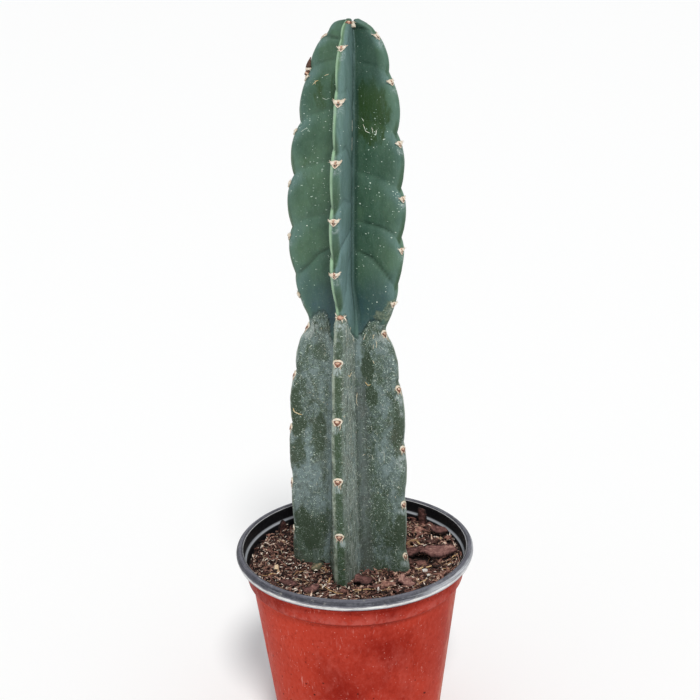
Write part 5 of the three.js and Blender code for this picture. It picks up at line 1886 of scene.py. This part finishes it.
def make_crumbs():
    """Splinters and small chips all over, and the larger chips one by one."""
    outline = stem_outline(-0.6)
    parts, tones = [], []
    for _ in range(SHRED_COUNT):
        x, y = scatter(outline, SHRED_REACH)
        by_wall = math.hypot(x, y) > BY_WALL
        coarse = 0.85 + 0.3 * float(smooth(-25, 35, x))
        length = float(np.clip(chance.lognormal(1.14, 0.5), 1.2, 11.0)) * coarse
        width = min(1.5, length * chance.uniform(0.1, 0.26)) * (0.7 + 0.3 * float(smooth(-30, 20, x)))
        if under_flake(x, y, 1.0) and chance.random() < 0.97:
            continue
        thick, bend, arch = chance.uniform(0.35, 0.9), chance.normal(0, 0.5), chance.uniform(0, 0.6)
        points, faces = shred(length, width, thick, bend, arch)
        z = float(soil_height(x, y)) + chance.uniform(-1.4, 1.9)
        if by_wall:
            yaw = math.degrees(math.atan2(y, x)) + 90 + chance.normal(0, 12)
            x, y = against_wall(x * 0.99, y * 0.99, z)
        else:
            yaw = chance.uniform(0, 360)
        parts.append((laid(points, (x, y, z), yaw, chance.normal(8, 36), chance.normal(0, 24)), faces))
        pale = chance.random() < 0.42 + 0.14 * smooth(30, 60, x) and width < 0.6
        tone = chance.uniform(0.68, 1.1) if pale else np.clip(chance.normal(0.39, 0.24), 0.0, 0.8)
        tones.append(tone + chance.normal(0, 0.07, len(points)))
    for _ in range(CHIP_COUNT):
        x, y = scatter(outline, CHIP_REACH)
        large = chance.random() < 0.26 + 0.2 * smooth(-10, 30, x)
        length = chance.uniform(3.5, 8.5) if large else np.clip(chance.lognormal(0.35, 0.4), 0.8, 3.0)
        if math.hypot(x, y) + length / 2 > SOIL_RADIUS or under_flake(x, y, 0.9):
            continue
        narrow = chance.uniform(0.28, 0.6) if large else chance.uniform(0.4, 0.8)
        points, faces = chip(length, length * narrow, chance.uniform(0.4, 0.9), 6, 0.3, 0.4)
        place = on_soil(x, y, chance.uniform(-0.7, 1.1))
        tilt = 20 if large else 34
        yaw, tilts = chance.uniform(0, 360), chance.normal(0, tilt, 2)
        parts.append((laid(points, place, yaw, *tilts), faces))
        pale = chance.random() < 0.12 and length < 1.6
        tone = chance.uniform(0.75, 1.0) if pale else np.clip(chance.normal(0.44, 0.23), 0.0, 0.86)
        tones.append(tone + chance.normal(0, 0.05, len(points)))
    for (x, y), rise, yaw, tilt, length, width, tone in PLACED_CHIPS:
        points, faces = chip(length, width, 1.1, 9, 0.26, 0.5)
        parts.append((laid(points, on_soil(x, y, rise), yaw, *tilt), faces))
        tones.append(tone + chance.normal(0, 0.05, len(points)))
    finish = mix_finish("crumbled bark", CRUMB_TONES)
    make_toned("bark_crumbs", parts, tones, finish, "soil", False)


def make_fibres():
    outline = stem_outline(0.4)
    parts, tones = [], []
    for _ in range(FIBRE_COUNT):
        x, y = scatter(outline, FIBRE_REACH)
        length = np.clip(chance.lognormal(1.5, 0.5), 2.0, 14.0)
        heading = chance.uniform(0, 2 * math.pi)
        bend = chance.normal(0, 0.14)
        arch = chance.uniform(0.2, 1.1)
        path = []
        for share in np.linspace(0, 1, 8):
            path.append(on_soil(x, y, 0.9 + arch * math.sin(math.pi * share)))
            x += length / 7 * math.cos(heading)
            y += length / 7 * math.sin(heading)
            heading += bend + chance.normal(0, 0.1)
        if any(math.hypot(x, y) > FIBRE_END_REACH or inside(outline, x, y) for x, y, _ in path):
            continue
        thick = chance.uniform(0.12, 0.27)
        points, faces = strand(path, thick * np.array([0.5, 1, 1, 1, 1, 0.95, 0.8, 0.4]), 4)
        parts.append((points, faces))
        tones.append(np.full(len(points), np.clip(chance.normal(0.5, 0.3), 0, 1)))
    make_toned("bark_fibres", parts, tones, mix_finish("dry fibre", FIBRE_TONES, 0.0001), "soil")


# The beads of perlite: place, how high each sits, length, width, thickness, and turn
BEADS = [
    (44.1, -17.9, 2.5, 3.5, 3.0, 2.9, 10),
    (46.0, -23.7, 2.2, 2.8, 2.0, 1.8, 50),
    (44.7, -26.0, 1.0, 1.6, 1.3, 1.1, 0),
    (-60.2, -25.7, 2.2, 2.2, 1.9, 1.7, 30),
    (13.9, -37.9, 2.4, 1.8, 1.5, 3.2, 75),
    (-40.0, 2.0, 0.9, 1.2, 1.0, 0.9, 20),
    (58.0, -12.0, 0.9, 1.3, 1.0, 0.9, 0),
    (20.0, 52.0, 1.0, 2.4, 2.0, 1.6, 40),
    (-22.0, 48.0, 1.0, 2.2, 1.9, 1.6, 10),
]
# Dry lumps, yellowish and greenish: place, rise, length, width and thickness, turn, and tone
LUMPS = [
    ((-50.2, -10.5), 1.8, (3.6, 4.6, 1.6), 20, 0.85),
    ((-49.0, -13.0), 1.2, (2.6, 2.2, 1.4), -30, 0.6),
    ((57.0, 22.5), 1.4, (3.4, 2.6, 1.6), 15, 0.5),
]
# A folded scale of bark left of the stem: its place, and one ring of it as share of the half width,
# height, and tone
FOLDED_AT = (-24.6, -8.1)
FOLDED_RING = [
    (-1.0, -0.9, 0.1),
    (-0.5, 0.3, 0.1),
    (0.0, 1.1, 0.42),
    (0.5, 0.2, 0.1),
    (1.0, -1.2, 0.1),
    (0.0, 0.5, 0.42),
]
LUMP_TONES = [
    (0.0, srgb(74, 74, 56)),
    (0.3, srgb(122, 118, 94)),
    (0.6, srgb(190, 154, 122)),
    (0.85, srgb(232, 206, 172)),
]
PERLITE_GREY = srgb(200, 190, 180)
PERLITE_WHITE = srgb(244, 240, 234)
# Shavings: places along each, its thickness, and its tone
SHAVINGS = [
    ([(38.7, -9.4), (40.6, -10.6), (43.0, -9.4), (46.4, -11.8), (50.9, -10.7)], 0.5, 0.9),
    ([(39.5, -34.2), (41.0, -30.4), (43.4, -28.6), (44.9, -26.4)], 0.4, 0.8),
    ([(36.4, -30.0), (39.0, -27.4), (41.6, -26.6)], 0.34, 0.65),
    ([(41.4, 25.4), (42.4, 23.1), (43.3, 20.6)], 0.5, 1.0),
    ([(63.0, 2.0), (64.6, -2.0), (64.4, -6.5)], 0.36, 0.8),
    ([(60.6, -8.0), (62.8, -5.6), (66.0, -3.4)], 0.36, 0.85),
    ([(57.5, -13.0), (60.2, -12.0), (62.2, -14.5)], 0.34, 0.7),
    ([(55.0, -17.0), (57.5, -20.0), (58.5, -23.0)], 0.34, 0.8),
    ([(-18.0, -10.0), (-20.5, -7.0), (-23.0, -6.4), (-26.5, -9.5), (-29.5, -9.2)], 0.32, 0.7),
    ([(-31.0, -12.0), (-33.5, -9.0), (-37.0, -9.4), (-39.0, -13.0)], 0.28, 0.6),
    ([(-58.5, -21.5), (-55.5, -20.0), (-53.0, -17.0), (-50.0, -16.5)], 0.34, 0.72),
    ([(-19.4, -33.0), (-16.5, -36.5), (-12.0, -39.5), (-8.0, -41.0)], 0.32, 0.75),
    ([(-17.8, -25.0), (-17.0, -20.0), (-16.2, -15.5)], 0.7, 0.78),
    ([(-24.0, -27.0), (-21.5, -31.5), (-20.5, -37.0)], 0.3, 0.65),
    ([(-49.0, -28.0), (-45.0, -25.0), (-40.5, -23.5)], 0.36, 0.62),
    ([(-2.0, -36.5), (2.5, -37.5), (7.0, -36.4), (12.0, -37.0)], 0.34, 0.8),
    ([(16.0, -38.5), (20.0, -37.6), (23.5, -38.6)], 0.34, 0.72),
]
# Shavings that curl round one place, by the radius of each
CURL_AT = (38.6, 24.4)
CURL_RADII = (2.3, 3.3, 4.2)
SHAVING_TONES = [
    (0.0, srgb(70, 46, 38)),
    (0.5, srgb(130, 96, 74)),
    (0.8, srgb(200, 160, 112)),
    (1.0, srgb(230, 200, 150)),
]


def pebble(length, width, thick, rough):
    """A small uneven rounded lump, in its own frame."""
    tilts = (np.arange(1, 6) / 6 - 0.5) * math.pi
    rings = lump_rings(tilts, 10, (length / 2, width / 2, thick / 2), rough)
    return closed_skin(rings, (0, 0, -thick / 2), (0, 0, thick / 2))


def make_beads():
    parts = []
    for x, y, rise, length, width, thick, yaw in BEADS:
        points, faces = pebble(length, width, thick, 0.16)
        parts.append((laid(points, on_soil(x, y, rise), yaw), faces))
    perlite = Finish("perlite")
    tone = perlite.step(perlite.clouds(900, 3), 0.3, 0.7)
    tone = perlite.mix(tone, PERLITE_GREY, PERLITE_WHITE)
    finish = perlite.done(tone, 0.9, perlite.relief(perlite.clouds(1800, 2), 0.0003))
    make_piece("perlite_beads", *joined(parts), [finish], "soil")


def make_lumps():
    parts, tones = [], []
    for (x, y), rise, size, yaw, tone in LUMPS:
        points, faces = chip(*size, 7, 0.3, 0.35)
        parts.append((laid(points, on_soil(x, y, rise), yaw, 42, 8), faces))
        tones.append(np.full(len(points), tone))
    rings = []
    for share in np.linspace(-1, 1, 9):
        half = 2.5 * math.sqrt(max(0.0, 1 - share * share)) + 0.15
        for across, high, _ in FOLDED_RING:
            uneven = across * half * chance.uniform(0.9, 1.1)
            rings.append((4.1 * share, uneven, high * (1 - 0.5 * share * share)))
    points, faces = bar(np.reshape(rings, (9, 6, 3))[::-1])
    parts.append((laid(points, on_soil(*FOLDED_AT, 3.2), 38, 30, -12), faces))
    tones.append(np.tile(np.array(FOLDED_RING)[:, 2], 9))
    make_toned("dry_lumps", parts, tones, mix_finish("dry lumps", LUMP_TONES, 0.0004), "soil", False)


def make_shavings():
    shavings = list(SHAVINGS)
    for radius in CURL_RADII:
        angles = np.linspace(-0.6, 3.6 + 0.3 * radius, 12)
        arc = [(radius * math.cos(a), 0.9 * radius * math.sin(a)) for a in angles]
        shavings.append((np.add(CURL_AT, arc), 0.42, 0.3 + 0.07 * radius))
    parts, tones = [], []
    for places, thick, tone in shavings:
        path = np.array([on_soil(x, y, 1.5) for x, y in places])
        fine = np.linspace(0, 1, 14)
        shares = np.linspace(0, 1, len(path))
        path = np.stack([np.interp(fine, shares, column) for column in path.T], axis=-1)
        radii = thick * (0.35 + 0.65 * np.sin(np.pi * np.clip(fine, 0.08, 0.95)) ** 0.5)
        parts.append(strand(path, radii, 6))
        tones.append(np.full(len(parts[-1][0]), tone))
    finish = mix_finish("bark shavings", SHAVING_TONES, 0.0002)
    make_toned("bark_shavings", parts, tones, finish, "soil")


make_soil()
make_crumbs()
make_fibres()
make_beads()
make_lumps()
make_shavings()
